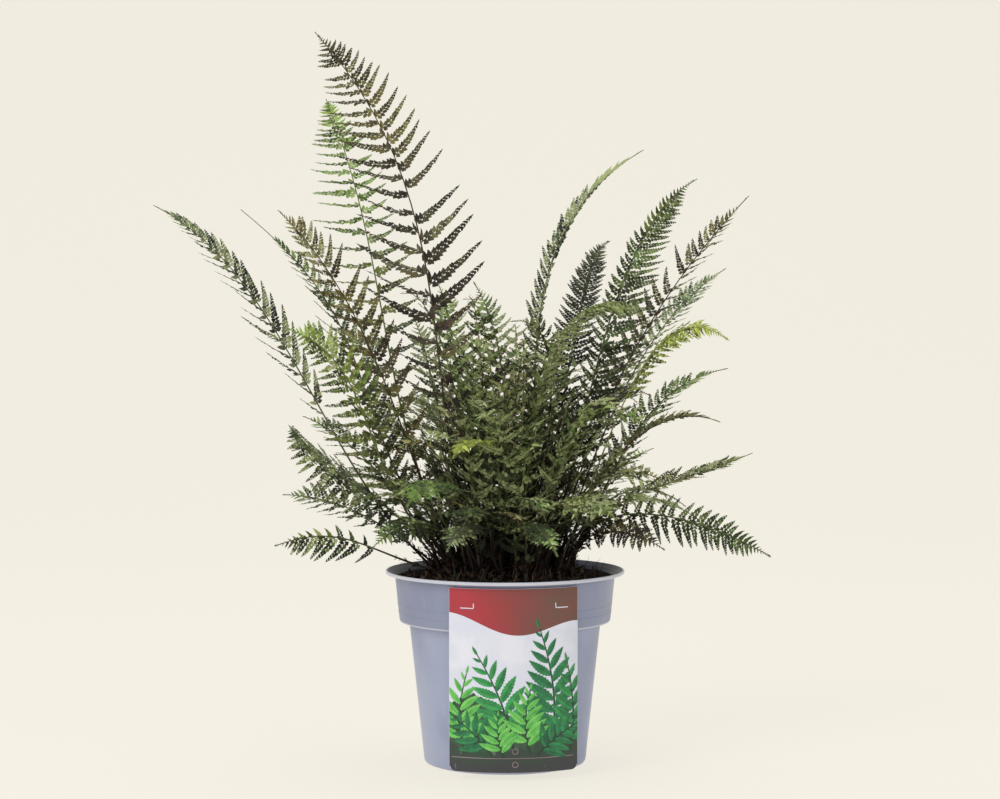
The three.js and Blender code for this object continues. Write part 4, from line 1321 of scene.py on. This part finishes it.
def stub_forms(draw):
    """Old cut or withered stalks that stand among the living ones."""
    forms = []
    for _ in range(STUB_COUNT):
        radius = CROWN_RADIUS * math.sqrt(draw(0.02, 0.62))
        angle = draw(0, 2 * math.pi)
        foot = vec(radius * math.cos(angle), radius * math.sin(angle), 0)
        foot[2] = crown_top(foot[0], foot[1]) - 1.5
        lean = unit(vec(foot[0] / 60 + draw(-0.3, 0.3), foot[1] / 60 + draw(-0.3, 0.3), 1))
        height, thick = draw(7, 34), draw(0.7, 1.25)
        bow = vec(draw(-1, 1), draw(-1, 1), 0) * 0.12 * height
        t = np.linspace(0, 1, 6)
        places = foot + np.outer(height * t, lean) + np.outer(t**2, bow)
        across = unit(np.cross(lean, vec(0.3, 1, 0)))
        frames = [(across, unit(np.cross(lean, across)))] * 6
        widths = thick * (1 - 0.35 * t)
        forms.append(tube(places, frames, widths, widths, sides=6, along=t))
    return forms


# Finishes


def srgb(red, green, blue):
    """A colour picked on a screen, 0 to 255, as the linear values that a shader takes."""
    linear = [((c / 255 + 0.055) / 1.055) ** 2.4 if c > 10 else c / 255 / 12.92 for c in (red, green, blue)]
    return (*linear, 1)


class Nodes:
    """Adds nodes to a tree. An input is a plain value or another node's output."""

    def __init__(self, tree):
        self.tree = tree

    def add(self, kind, inputs=(), **settings):
        node = self.tree.nodes.new("ShaderNode" + kind)
        for name, value in settings.items():
            setattr(node, name, value)
        for name, value in dict(inputs).items():
            self.join(value, node.inputs[name])
        return node

    def join(self, value, socket):
        if isinstance(value, bpy.types.NodeSocket):
            self.tree.links.new(value, socket)
        else:
            socket.default_value = value

    def mix(self, share, first, second, blend="MIX"):
        node = self.add("Mix", {0: share, 6: first, 7: second}, data_type="RGBA", blend_type=blend)
        return node.outputs[2]

    def math(self, operation, *values):
        node = self.add("Math", dict(enumerate(values)), operation=operation)
        return node.outputs[0]

    def times(self, first, second):
        return self.math("MULTIPLY", first, second)

    def plus(self, first, second):
        return self.math("ADD", first, second)

    def between(self, value, low, high, to_low=0.0, to_high=1.0):
        names = ("Value", "From Min", "From Max", "To Min", "To Max")
        node = self.add("MapRange", dict(zip(names, (value, low, high, to_low, to_high))))
        node.interpolation_type = "SMOOTHSTEP"
        return node.outputs["Result"]

    def noise(self, place, scale, detail=3.0, roughness=0.55):
        inputs = {"Vector": place, "Scale": scale, "Detail": detail, "Roughness": roughness}
        return self.add("TexNoise", inputs).outputs["Fac"]

    def object_place(self, stretch=(1, 1, 1)):
        place = self.add("TexCoord").outputs["Object"]
        return self.add("Mapping", {"Vector": place, "Scale": stretch}).outputs["Vector"]

    def value_on(self, name):
        return self.add("Attribute", attribute_name=name, attribute_type="GEOMETRY").outputs["Fac"]

    def uv(self):
        split = self.add("SeparateXYZ", {"Vector": self.add("UVMap").outputs["UV"]})
        return split.outputs["X"], split.outputs["Y"]

    def group(self, tree, inputs):
        node = self.add("Group")
        node.node_tree = tree
        for name, value in inputs.items():
            self.join(value, node.inputs[name])
        return node.outputs


def new_group(name, inputs, outputs):
    """A node group with named sockets: gives its nodes, its inputs and a way to fill its outputs."""
    tree = bpy.data.node_groups.new(name, "ShaderNodeTree")
    for label, (kind, value) in inputs.items():
        socket = tree.interface.new_socket(label, in_out="INPUT", socket_type="NodeSocket" + kind)
        socket.default_value = value
    for label, kind in outputs.items():
        tree.interface.new_socket(label, in_out="OUTPUT", socket_type="NodeSocket" + kind)
    given, put = tree.nodes.new("NodeGroupInput").outputs, tree.nodes.new("NodeGroupOutput").inputs
    return tree, Nodes(tree), given, put


def colour_drift_group():
    """Two colours that drift into each other in soft patches, with fine specks of the second."""
    tree, nodes, given, put = new_group(
        "colour_drift",
        {
            "First": ("Color", (0.5, 0.5, 0.5, 1)),
            "Second": ("Color", (0.3, 0.3, 0.3, 1)),
            "Scale": ("Float", 40.0),
            "Speck Scale": ("Float", 900.0),
            "Specks": ("Float", 0.3),
        },
        {"Colour": "Color", "Mask": "Float", "Height": "Float"},
    )
    place = nodes.object_place()
    patches = nodes.between(nodes.noise(place, given["Scale"]), 0.35, 0.65)
    specks = nodes.noise(place, given["Speck Scale"], 2.0)
    speckled = nodes.times(nodes.between(specks, 0.55, 0.75), given["Specks"])
    mask = nodes.math("MINIMUM", nodes.plus(patches, speckled), 1.0)
    nodes.join(nodes.mix(mask, given["First"], given["Second"]), put["Colour"])
    nodes.join(mask, put["Mask"])
    nodes.join(specks, put["Height"])
    return tree


def wear_group():
    """Dust that gathers in patches, and long fine scratches."""
    tree, nodes, given, put = new_group(
        "dust_and_scratches",
        {"Dust": ("Float", 0.5), "Scratches": ("Float", 0.5), "Size": ("Float", 1.0)},
        {"Dust": "Float", "Scratch": "Float", "Height": "Float"},
    )
    sized = nodes.add("VectorMath", {0: nodes.object_place()}, operation="SCALE")
    nodes.join(given["Size"], sized.inputs["Scale"])
    place = sized.outputs["Vector"]
    clouds = nodes.between(nodes.noise(place, 55.0, 5.0, 0.65), 0.5, 0.72)
    grains = nodes.between(nodes.noise(place, 1500.0, 2.0), 0.6, 0.72)
    dust = nodes.times(nodes.plus(nodes.times(clouds, 0.6), grains), given["Dust"])
    stretch = {"Vector": place, "Rotation": (0.5, 0.7, 0.4), "Scale": (40, 900, 60)}
    turned_place = nodes.add("Mapping", stretch)
    lines = nodes.noise(turned_place.outputs["Vector"], 1.0, 2.0, 0.5)
    scratch = nodes.times(nodes.between(lines, 0.7, 0.76), given["Scratches"])
    nodes.join(dust, put["Dust"])
    nodes.join(scratch, put["Scratch"])
    nodes.join(nodes.math("SUBTRACT", nodes.times(dust, 0.4), scratch), put["Height"])
    return tree


def leaf_group():
    """A lobed leaf's surface: a foot colour that turns to the tip colour along the frond, olive patches, pale
    patches that are partly a waxy coat and partly painted sheen, a pale vein and margin on each lobe, lobes
    that differ, a paler underside, which has 1 added to the lobe's U, a painted highlight on the lightest
    lobes, and painted light and shade from the shade value, darker towards the clump's foot."""
    tree, nodes, given, put = new_group(
        "leaf_surface",
        {
            "Foot": ("Color", (0.03, 0.05, 0.03, 1)),
            "Tip": ("Color", (0.1, 0.2, 0.08, 1)),
            "Rust": ("Color", (0.16, 0.09, 0.05, 1)),
            "Olive": ("Color", (0.15, 0.15, 0.04, 1)),
            "Underside": ("Color", (0.2, 0.25, 0.18, 1)),
            "Bloom And Sheen": ("Color", (0.25, 0.3, 0.24, 1)),
            "Rust Share": ("Float", 0.2),
            "Turn": ("Float", 0.6),
        },
        {"Colour": "Color", "Roughness": "Float", "Height": "Float"},
    )
    u, v = nodes.uv()
    along, shade = nodes.value_on("along"), nodes.value_on("shade")
    below = nodes.math("GREATER_THAN", u, 1.0001)
    lobe_u = nodes.math("SUBTRACT", u, below)
    place = nodes.object_place()
    patches = nodes.noise(place, 70.0, 4.0)
    from_turn = nodes.math("SUBTRACT", along, given["Turn"])
    ripeness = nodes.between(nodes.plus(from_turn, nodes.times(patches, 0.25)), -0.25, 0.4)
    colour = nodes.mix(ripeness, given["Foot"], given["Tip"])
    olive = nodes.between(nodes.noise(place, 17.0, 2.0), 0.5, 0.66, 0.0, 0.4)
    colour = nodes.mix(olive, colour, given["Olive"])
    # pale patches, partly a waxy coat and partly painted sheen
    bloom_and_sheen = nodes.between(nodes.noise(place, 40.0, 3.0), 0.5, 0.66, 0.0, 0.34)
    colour = nodes.mix(bloom_and_sheen, colour, given["Bloom And Sheen"])
    rusty = nodes.between(nodes.noise(place, 210.0, 3.0), 0.5, 0.75)
    rusty = nodes.times(rusty, given["Rust Share"])
    colour = nodes.mix(rusty, colour, given["Rust"])
    from_vein = nodes.math("ABSOLUTE", nodes.math("SUBTRACT", v, 0.5))
    vein = nodes.between(from_vein, 0.09, 0.0)
    ribs = nodes.plus(nodes.times(lobe_u, 7.0), nodes.times(from_vein, -5.0))
    ribs = nodes.between(nodes.math("PINGPONG", ribs, 0.5), 0.12, 0.0)
    lines = nodes.math("MAXIMUM", vein, nodes.times(ribs, 0.45))
    colour = nodes.mix(nodes.times(lines, 0.3), colour, given["Underside"])
    margin = nodes.between(from_vein, 0.42, 0.5)
    colour = nodes.mix(nodes.times(margin, 0.25), colour, given["Rust"])
    colour = nodes.mix(nodes.times(below, 0.6), colour, given["Underside"])
    # painted highlight: the lightest lobes wash out towards the pale colour
    colour = nodes.mix(nodes.between(shade, 0.7, 1.0, 0.0, 0.6), colour, given["Bloom And Sheen"])
    # painted light and shade: the shade value scales the colour from dark to bright
    level = nodes.between(shade, 0.0, 1.0, 0.21, 2.2)
    level = nodes.add("CombineColor", {"Red": level, "Green": level, "Blue": level}).outputs["Color"]
    nodes.join(nodes.mix(1.0, colour, level, "MULTIPLY"), put["Colour"])
    rough = nodes.between(nodes.noise(place, 500.0, 2.0), 0.3, 0.7, 0.4, 0.56)
    nodes.join(nodes.plus(rough, nodes.times(below, 0.2)), put["Roughness"])
    nodes.join(nodes.times(lines, -1.0), put["Height"])
    return tree


def fibre_group():
    """Fibrous dead plant matter: streaks along the piece and random light and dark pieces."""
    tree, nodes, given, put = new_group(
        "fibrous",
        {
            "Dark": ("Color", (0.02, 0.012, 0.008, 1)),
            "Light": ("Color", (0.1, 0.06, 0.035, 1)),
            "Scale": ("Float", 300.0),
        },
        {"Colour": "Color", "Height": "Float"},
    )
    place = nodes.object_place((1, 1, 0.25))
    streaks = nodes.noise(place, given["Scale"], 4.0, 0.6)
    mask = nodes.times(nodes.between(streaks, 0.35, 0.7), nodes.value_on("shade"))
    nodes.join(nodes.mix(mask, given["Dark"], given["Light"]), put["Colour"])
    nodes.join(streaks, put["Height"])
    return tree


def new_finish(name, **fixed):
    """A material, its nodes and its shader. fixed gives plain values that are the same all over."""
    material = bpy.data.materials.new(name)
    material.use_nodes = True
    shader = material.node_tree.nodes["Principled BSDF"]
    for label, value in fixed.items():
        shader.inputs[label.replace("_", " ")].default_value = value
    return material, Nodes(material.node_tree), shader


def set_surface(nodes, shader, colour, roughness, height=None, bump=0.0002):
    nodes.join(colour, shader.inputs["Base Color"])
    nodes.join(roughness, shader.inputs["Roughness"])
    if height is not None:
        normal = nodes.add("Bump", {"Height": height, "Distance": bump, "Strength": 1.0})
        nodes.join(normal.outputs["Normal"], shader.inputs["Normal"])


# Foot colour, tip colour, how much rust, where along the frond the tip colour comes in
LEAF_TONES = {
    "deep": ((36, 43, 24), (86, 109, 52), 0.22, 0.56),
    "blue": ((42, 51, 36), (96, 114, 76), 0.18, 0.53),
    "bronze": ((54, 38, 27), (106, 99, 56), 0.45, 0.75),
    "fresh": ((46, 56, 31), (114, 148, 62), 0.16, 0.7),
    "lime": ((70, 80, 32), (154, 166, 60), 0.16, 0.7),
}
RUST = (84, 58, 36)
OLIVE = (120, 114, 48)
UNDERSIDE = (102, 117, 72)
# pale colour of the waxy coat, also used for painted sheen and the painted highlight on the lightest lobes
BLOOM_AND_SHEEN = (131, 136, 96)


def make_leaf_finish(name, leaf_tree):
    foot, tip, rust, turn = LEAF_TONES[name]
    material, nodes, shader = new_finish("leaf_" + name, Specular_IOR_Level=0.34)
    surface = nodes.group(
        leaf_tree,
        {
            "Foot": srgb(*foot),
            "Tip": srgb(*tip),
            "Rust": srgb(*RUST),
            "Olive": srgb(*OLIVE),
            "Underside": srgb(*UNDERSIDE),
            "Bloom And Sheen": srgb(*BLOOM_AND_SHEEN),
            "Rust Share": rust,
            "Turn": turn,
        },
    )
    set_surface(nodes, shader, surface["Colour"], surface["Roughness"], surface["Height"], 0.00015)
    return material


STALK_FOOT = (26, 19, 15)
STALK_TIP = {
    "deep": (78, 84, 50),
    "blue": (92, 98, 66),
    "bronze": (74, 56, 38),
    "fresh": (104, 116, 62),
    "lime": (132, 138, 72),
}


def make_stalk_finish(name):
    material, nodes, shader = new_finish("stalk_" + name, Specular_IOR_Level=0.4)
    along = nodes.value_on("along")
    place = nodes.object_place((1, 1, 0.3))
    streaks = nodes.noise(place, 420.0, 4.0)
    ripeness = nodes.between(nodes.plus(along, nodes.times(streaks, 0.2)), 0.15, 0.6)
    colour = nodes.mix(ripeness, srgb(*STALK_FOOT), srgb(*STALK_TIP[name]))
    set_surface(nodes, shader, colour, nodes.between(streaks, 0.3, 0.7, 0.45, 0.65), streaks, 0.0001)
    return material


def make_fibrous_finish(name, fibre_tree, dark, light, scale, roughness, bump=0.0004):
    material, nodes, shader = new_finish(name, Specular_IOR_Level=0.25)
    fibre = nodes.group(fibre_tree, {"Dark": srgb(*dark), "Light": srgb(*light), "Scale": scale})
    rough = nodes.between(fibre["Height"], 0.2, 0.8, roughness - 0.08, roughness + 0.08)
    set_surface(nodes, shader, fibre["Colour"], rough, fibre["Height"], bump)
    return material


POT_LIGHT = (160, 168, 194)
POT_DARK = (144, 151, 179)
POT_COLLAR_SHADE = (108, 113, 140)
# light scuffs and scratches, and the colour of the painted highlights
POT_SCUFF_AND_HIGHLIGHT = (218, 220, 230)
POT_DUST = (96, 84, 74)
POT_FOOT_DARK = (52, 46, 46)
# the inside of the pot, painted darker as shade
POT_INSIDE = (64, 67, 80)
POT_INSIDE_DEEP_SHADE = (46, 44, 49)


def make_pot_finish(name, light, dark, lines, gloss, drift_tree, wear_tree):
    """lines: how strongly painted highlights show along the edges, the rim and the collar's foot; along the
    edges they stand for scuffing too.
    """
    material, nodes, shader = new_finish(name, Specular_IOR_Level=gloss)
    drift = nodes.group(
        drift_tree,
        {"First": srgb(*light), "Second": srgb(*dark), "Scale": 16.0, "Speck Scale": 1200.0, "Specks": 0.25},
    )
    wear = nodes.group(wear_tree, {"Dust": 0.3, "Scratches": 0.5, "Size": 1.0})
    # edges: partly scuffing and partly a painted highlight
    edges = nodes.between(nodes.add("NewGeometry").outputs["Pointiness"], 0.53, 0.6)
    place = nodes.object_place()
    edges = nodes.times(edges, nodes.between(nodes.noise(place, 160.0), 0.4, 0.6))
    colour = nodes.mix(nodes.times(edges, 0.9 * lines), drift["Colour"], srgb(*POT_SCUFF_AND_HIGHLIGHT))
    colour = nodes.mix(nodes.times(wear["Scratch"], 0.5), colour, srgb(*POT_SCUFF_AND_HIGHLIGHT))
    height = nodes.add("SeparateXYZ", {"Vector": place}).outputs["Z"]
    low = nodes.between(height, 0.022, 0.0, 0.1, 1.0)
    # painted shade: the collar is painted darker than the body below it
    collar = nodes.between(height, 0.0755, 0.079, 0.0, 0.42)
    colour = nodes.mix(collar, colour, srgb(*POT_COLLAR_SHADE))
    # painted highlights: a thin light line at the collar's foot and along the top of the rim
    from_foot = nodes.math("ABSOLUTE", nodes.math("SUBTRACT", height, COLLAR_FOOT_HEIGHT * MM))
    collar_foot_highlight = nodes.between(from_foot, 0.0009, 0.0004, 0.0, 0.8 * lines)
    rim_highlight = nodes.between(height, 0.1028, 0.1034, 0.0, lines)
    colour = nodes.mix(nodes.math("MAXIMUM", collar_foot_highlight, rim_highlight), colour, srgb(*POT_SCUFF_AND_HIGHLIGHT))
    dusty = nodes.times(wear["Dust"], low)
    colour = nodes.mix(nodes.times(dusty, 0.6), colour, srgb(*POT_DUST))
    # darker patches in the lowest 10 mm of the pot
    foot_dark_patches = nodes.between(nodes.noise(place, 75.0, 4.0), 0.6, 0.66)
    foot_dark_patches = nodes.times(foot_dark_patches, nodes.between(height, 0.01, 0.003, 0.0, 0.85))
    colour = nodes.mix(foot_dark_patches, colour, srgb(*POT_FOOT_DARK))
    rough = nodes.plus(nodes.between(drift["Mask"], 0.0, 1.0, 0.36, 0.44), nodes.times(dusty, 0.3))
    height = nodes.plus(wear["Height"], drift["Height"])
    set_surface(nodes, shader, colour, rough, height, 0.00003)
    return material


def make_print_finish(name, first, second, drift_tree, wear_tree, scale=60.0, axis=None):
    """Ink on glossy card. axis picks U or V for a slow change from the first colour to the second."""
    material, nodes, shader = new_finish(name, Specular_IOR_Level=0.5)
    drift = nodes.group(
        drift_tree,
        {
            "First": srgb(*first),
            "Second": srgb(*second),
            "Scale": scale,
            "Speck Scale": 2600.0,
            "Specks": 0.25,
        },
    )
    wear = nodes.group(wear_tree, {"Dust": 0.3, "Scratches": 0.5, "Size": 1.6})
    colour = drift["Colour"]
    if axis is not None:
        slow = nodes.between(nodes.uv()[axis], 0.1, 0.75)
        soft = nodes.mix(slow, srgb(*first), srgb(*second))
        colour = nodes.mix(0.25, soft, colour)
    colour = nodes.mix(nodes.times(wear["Scratch"], 0.25), colour, srgb(225, 225, 225))
    rough = nodes.plus(0.42, nodes.times(wear["Dust"], 0.25))
    set_surface(nodes, shader, colour, rough, wear["Height"], 0.00002)
    return material


def make_print_leaf_finish(name, dark, light, drift_tree):
    """Painted leaves: light and dark sides of the vein, each leaf a little different."""
    material, nodes, shader = new_finish(name, Specular_IOR_Level=0.5)
    drift = nodes.group(
        drift_tree,
        {"First": srgb(*dark), "Second": srgb(*light), "Scale": 240.0, "Speck Scale": 2600.0, "Specks": 0.3},
    )
    u, v = nodes.uv()
    half = nodes.between(v, 0.46, 0.54)
    level = nodes.plus(nodes.times(half, 0.5), nodes.times(nodes.value_on("shade"), 0.5))
    colour = nodes.mix(level, srgb(*dark), srgb(*light))
    colour = nodes.mix(0.4, colour, drift["Colour"])
    from_vein = nodes.math("ABSOLUTE", nodes.math("SUBTRACT", v, 0.5))
    slant = nodes.plus(nodes.times(u, 6.0), nodes.times(from_vein, -4.0))
    ribs = nodes.between(nodes.math("PINGPONG", slant, 0.5), 0.1, 0.0)
    lines = nodes.math("MAXIMUM", nodes.between(from_vein, 0.07, 0.02), nodes.times(ribs, 0.5))
    colour = nodes.mix(nodes.times(lines, 0.5), colour, srgb(14, 52, 34))
    set_surface(nodes, shader, colour, nodes.between(drift["Mask"], 0.0, 1.0, 0.42, 0.5))
    return material


def make_finishes():
    drift_tree, wear_tree = colour_drift_group(), wear_group()
    leaf_tree, fibre_tree = leaf_group(), fibre_group()

    def fibrous(name, *measures):
        return make_fibrous_finish(name, fibre_tree, *measures)

    def ink(name, first, second, *measures):
        return make_print_finish(name, first, second, drift_tree, wear_tree, *measures)

    def ink_leaf(name, dark, light):
        return make_print_leaf_finish(name, dark, light, drift_tree)

    printed = {
        "card": ink("label_card", (226, 228, 240), (216, 219, 234)),
        "band": ink("ink_band", (176, 44, 58), (98, 78, 66), 30.0, 0),
        "foot": ink("ink_foot", (58, 56, 62), (50, 66, 54), 90.0, 1),
        "thicket": ink("ink_thicket", (34, 70, 48), (62, 84, 66), 160.0),
        "crease": ink("label_crease", (170, 150, 152), (140, 120, 124)),
        "leaves": [
            ink_leaf("ink_leaf_deep", (16, 84, 54), (46, 142, 82)),
            ink_leaf("ink_leaf_mid", (22, 104, 58), (62, 168, 88)),
            ink_leaf("ink_leaf_light", (70, 164, 66), (130, 214, 104)),
            ink_leaf("ink_stem", (18, 50, 34), (34, 70, 46)),
        ],
    }
    scale_finish = fibrous("dry_scale", (24, 16, 12), (84, 56, 36), 500.0, 0.6, 0.0001)
    return {
        "pot": [
            make_pot_finish("pot_plastic", POT_LIGHT, POT_DARK, 0.75, 0.45, drift_tree, wear_tree),
            # painted shade: the pot's inside finish is darker than the outside
            make_pot_finish("pot_inside", POT_INSIDE, POT_INSIDE_DEEP_SHADE, 0.1, 0.05, drift_tree, wear_tree),
        ],
        "label": printed,
        "soil": {
            "mix": fibrous("soil_mix", (12, 9, 8), (40, 30, 25), 700.0, 0.85, 0.001),
            "crumbs": [
                fibrous("soil_crumb", (14, 10, 9), (50, 36, 29), 600.0, 0.85),
                fibrous("bark_chip", (26, 17, 13), (88, 60, 42), 260.0, 0.75),
                fibrous("soil_grit", (120, 112, 104), (190, 184, 174), 600.0, 0.7),
            ],
            "fibre": fibrous("root_fibre", (60, 44, 32), (140, 108, 78), 500.0, 0.7, 0.0001),
        },
        "crown": {
            "mass": fibrous("crown_mass", (10, 7, 6), (34, 24, 18), 450.0, 0.85, 0.001),
            "scale": scale_finish,
            "tuft": fibrous("dry_hair", (50, 36, 28), (160, 126, 96), 400.0, 0.7, 0.0001),
            "stub": fibrous("dead_stalk", (16, 11, 9), (58, 42, 30), 300.0, 0.65),
        },
        "fronds": {
            tone: [make_leaf_finish(tone, leaf_tree), make_stalk_finish(tone), scale_finish]
            for tone in LEAF_TONES
        },
    }


# Stage, light and camera

BACKDROP = (238, 234, 223)
BACKDROP_SHADE = (234, 229, 216)
CAMERA_PLACE = (-0.0027, -1.5, 0.270)
CAMERA_TARGET = (-0.0027, 0.0, 0.1975)
CAMERA_LENS = 99.64


def make_stage():
    """A pale floor that curves up into a wall."""
    deselect()
    bpy.ops.mesh.primitive_grid_add(x_subdivisions=2, y_subdivisions=60, size=1)
    sweep = bpy.context.object
    sweep.name = "stage_sweep"
    points = points_of(sweep)
    front, turn, radius, top = -2.6, 1.2, 1.4, 3.6
    lengths = (turn - front, radius * math.pi / 2, top)
    for point in points:
        run = (point[1] + 0.5) * sum(lengths)
        if run < lengths[0]:
            y, z = front + run, 0
        elif run < lengths[0] + lengths[1]:
            angle = (run - lengths[0]) / radius
            y, z = turn + radius * math.sin(angle), radius * (1 - math.cos(angle))
        else:
            y, z = turn + radius, radius + run - lengths[0] - lengths[1]
        point[:] = (8 * point[0], y, z)
    set_points(sweep, points)
    shade_smooth(sweep, 60)
    material, nodes, shader = new_finish("backdrop", Specular_IOR_Level=0.0, Emission_Strength=0.868)
    drift = nodes.noise(nodes.object_place(), 0.8, 1.0)
    colour = nodes.mix(nodes.times(drift, 0.15), srgb(*BACKDROP), srgb(*BACKDROP_SHADE))
    set_surface(nodes, shader, nodes.mix(0.8, colour, srgb(0, 0, 0)), 0.9)
    nodes.join(colour, shader.inputs["Emission Color"])
    sweep.data.materials.append(material)


def add_light(name, place, target, size, watts, colour):
    light = bpy.data.lights.new(name, "AREA")
    light.shape, light.size, light.energy, light.color = "DISK", size, watts, colour
    lamp = bpy.data.objects.new(name, light)
    lamp.location = place
    lamp.rotation_euler = (Vector(target) - Vector(place)).to_track_quat("-Z", "Y").to_euler()
    bpy.context.scene.collection.objects.link(lamp)


def make_lights():
    middle = (0, 0, 0.2)
    add_light("key", (-1.5, -1.8, 1.7), middle, 1.8, 34, (1, 0.985, 0.955))
    add_light("fill", (1.8, -1.5, 1.0), middle, 1.6, 9.5, (0.98, 0.99, 1))
    add_light("strip", (-1.5, -1.5, 0.35), (0, 0, 0.1), 0.7, 2.0, (1, 1, 1))
    add_light("top", (0.1, 0.3, 2.2), middle, 1.4, 13, (1, 1, 1))
    world = bpy.data.worlds.new("studio")
    world.use_nodes = True
    ground = world.node_tree.nodes["Background"]
    ground.inputs["Color"].default_value = (1, 0.995, 0.98, 1)
    ground.inputs["Strength"].default_value = 0.42
    bpy.context.scene.world = world


def make_camera():
    camera = bpy.data.cameras.new("camera")
    camera.lens, camera.sensor_width = CAMERA_LENS, 36
    camera.clip_start, camera.clip_end = 0.05, 50
    holder = bpy.data.objects.new("camera", camera)
    holder.location = CAMERA_PLACE
    way = Vector(CAMERA_TARGET) - Vector(CAMERA_PLACE)
    holder.rotation_euler = way.to_track_quat("-Z", "Y").to_euler()
    bpy.context.scene.collection.objects.link(holder)
    bpy.context.scene.camera = holder
    bpy.context.scene.view_settings.view_transform = "Standard"


# The whole plant


def make_fronds(finishes):
    sizes = model_leaflets()
    draw = Draw(FROND_SEED)
    for i, frond in enumerate(seat_fronds()):
        node = f"frond_{i + 1:02d}"
        form = gather(frond_forms(frond, sizes, LEAFLET_PAIRS, LOOKS.get(i, USUAL_LOOK), draw))
        piece = make_piece("fern_" + node, form, finishes[frond.tone])
        dress(piece, None, frond.tone, node)
    for tone in sorted(set(sum(LOW_TONES, ()))):
        forms = []
        for frond in low_fronds():
            if frond.tone == tone:
                forms += frond_forms(frond, sizes, LOW_LEAFLET_PAIRS, LOW_LOOK, draw)
        dress(make_piece("low_fronds_" + tone, gather(forms), finishes[tone]), None, tone)


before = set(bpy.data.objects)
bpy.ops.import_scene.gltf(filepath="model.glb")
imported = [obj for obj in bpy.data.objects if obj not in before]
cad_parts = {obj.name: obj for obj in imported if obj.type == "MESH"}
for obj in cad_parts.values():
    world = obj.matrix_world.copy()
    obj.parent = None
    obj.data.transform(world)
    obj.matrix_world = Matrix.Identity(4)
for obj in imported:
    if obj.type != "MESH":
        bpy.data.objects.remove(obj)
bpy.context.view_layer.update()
finishes = make_finishes()
make_pot(finishes["pot"])
make_label(finishes["label"])
make_soil(finishes["soil"], Draw(SOIL_SEED))
make_crown(finishes["crown"], Draw(CROWN_SEED))
make_fronds(finishes["fronds"])
make_stage()
make_lights()
make_camera()
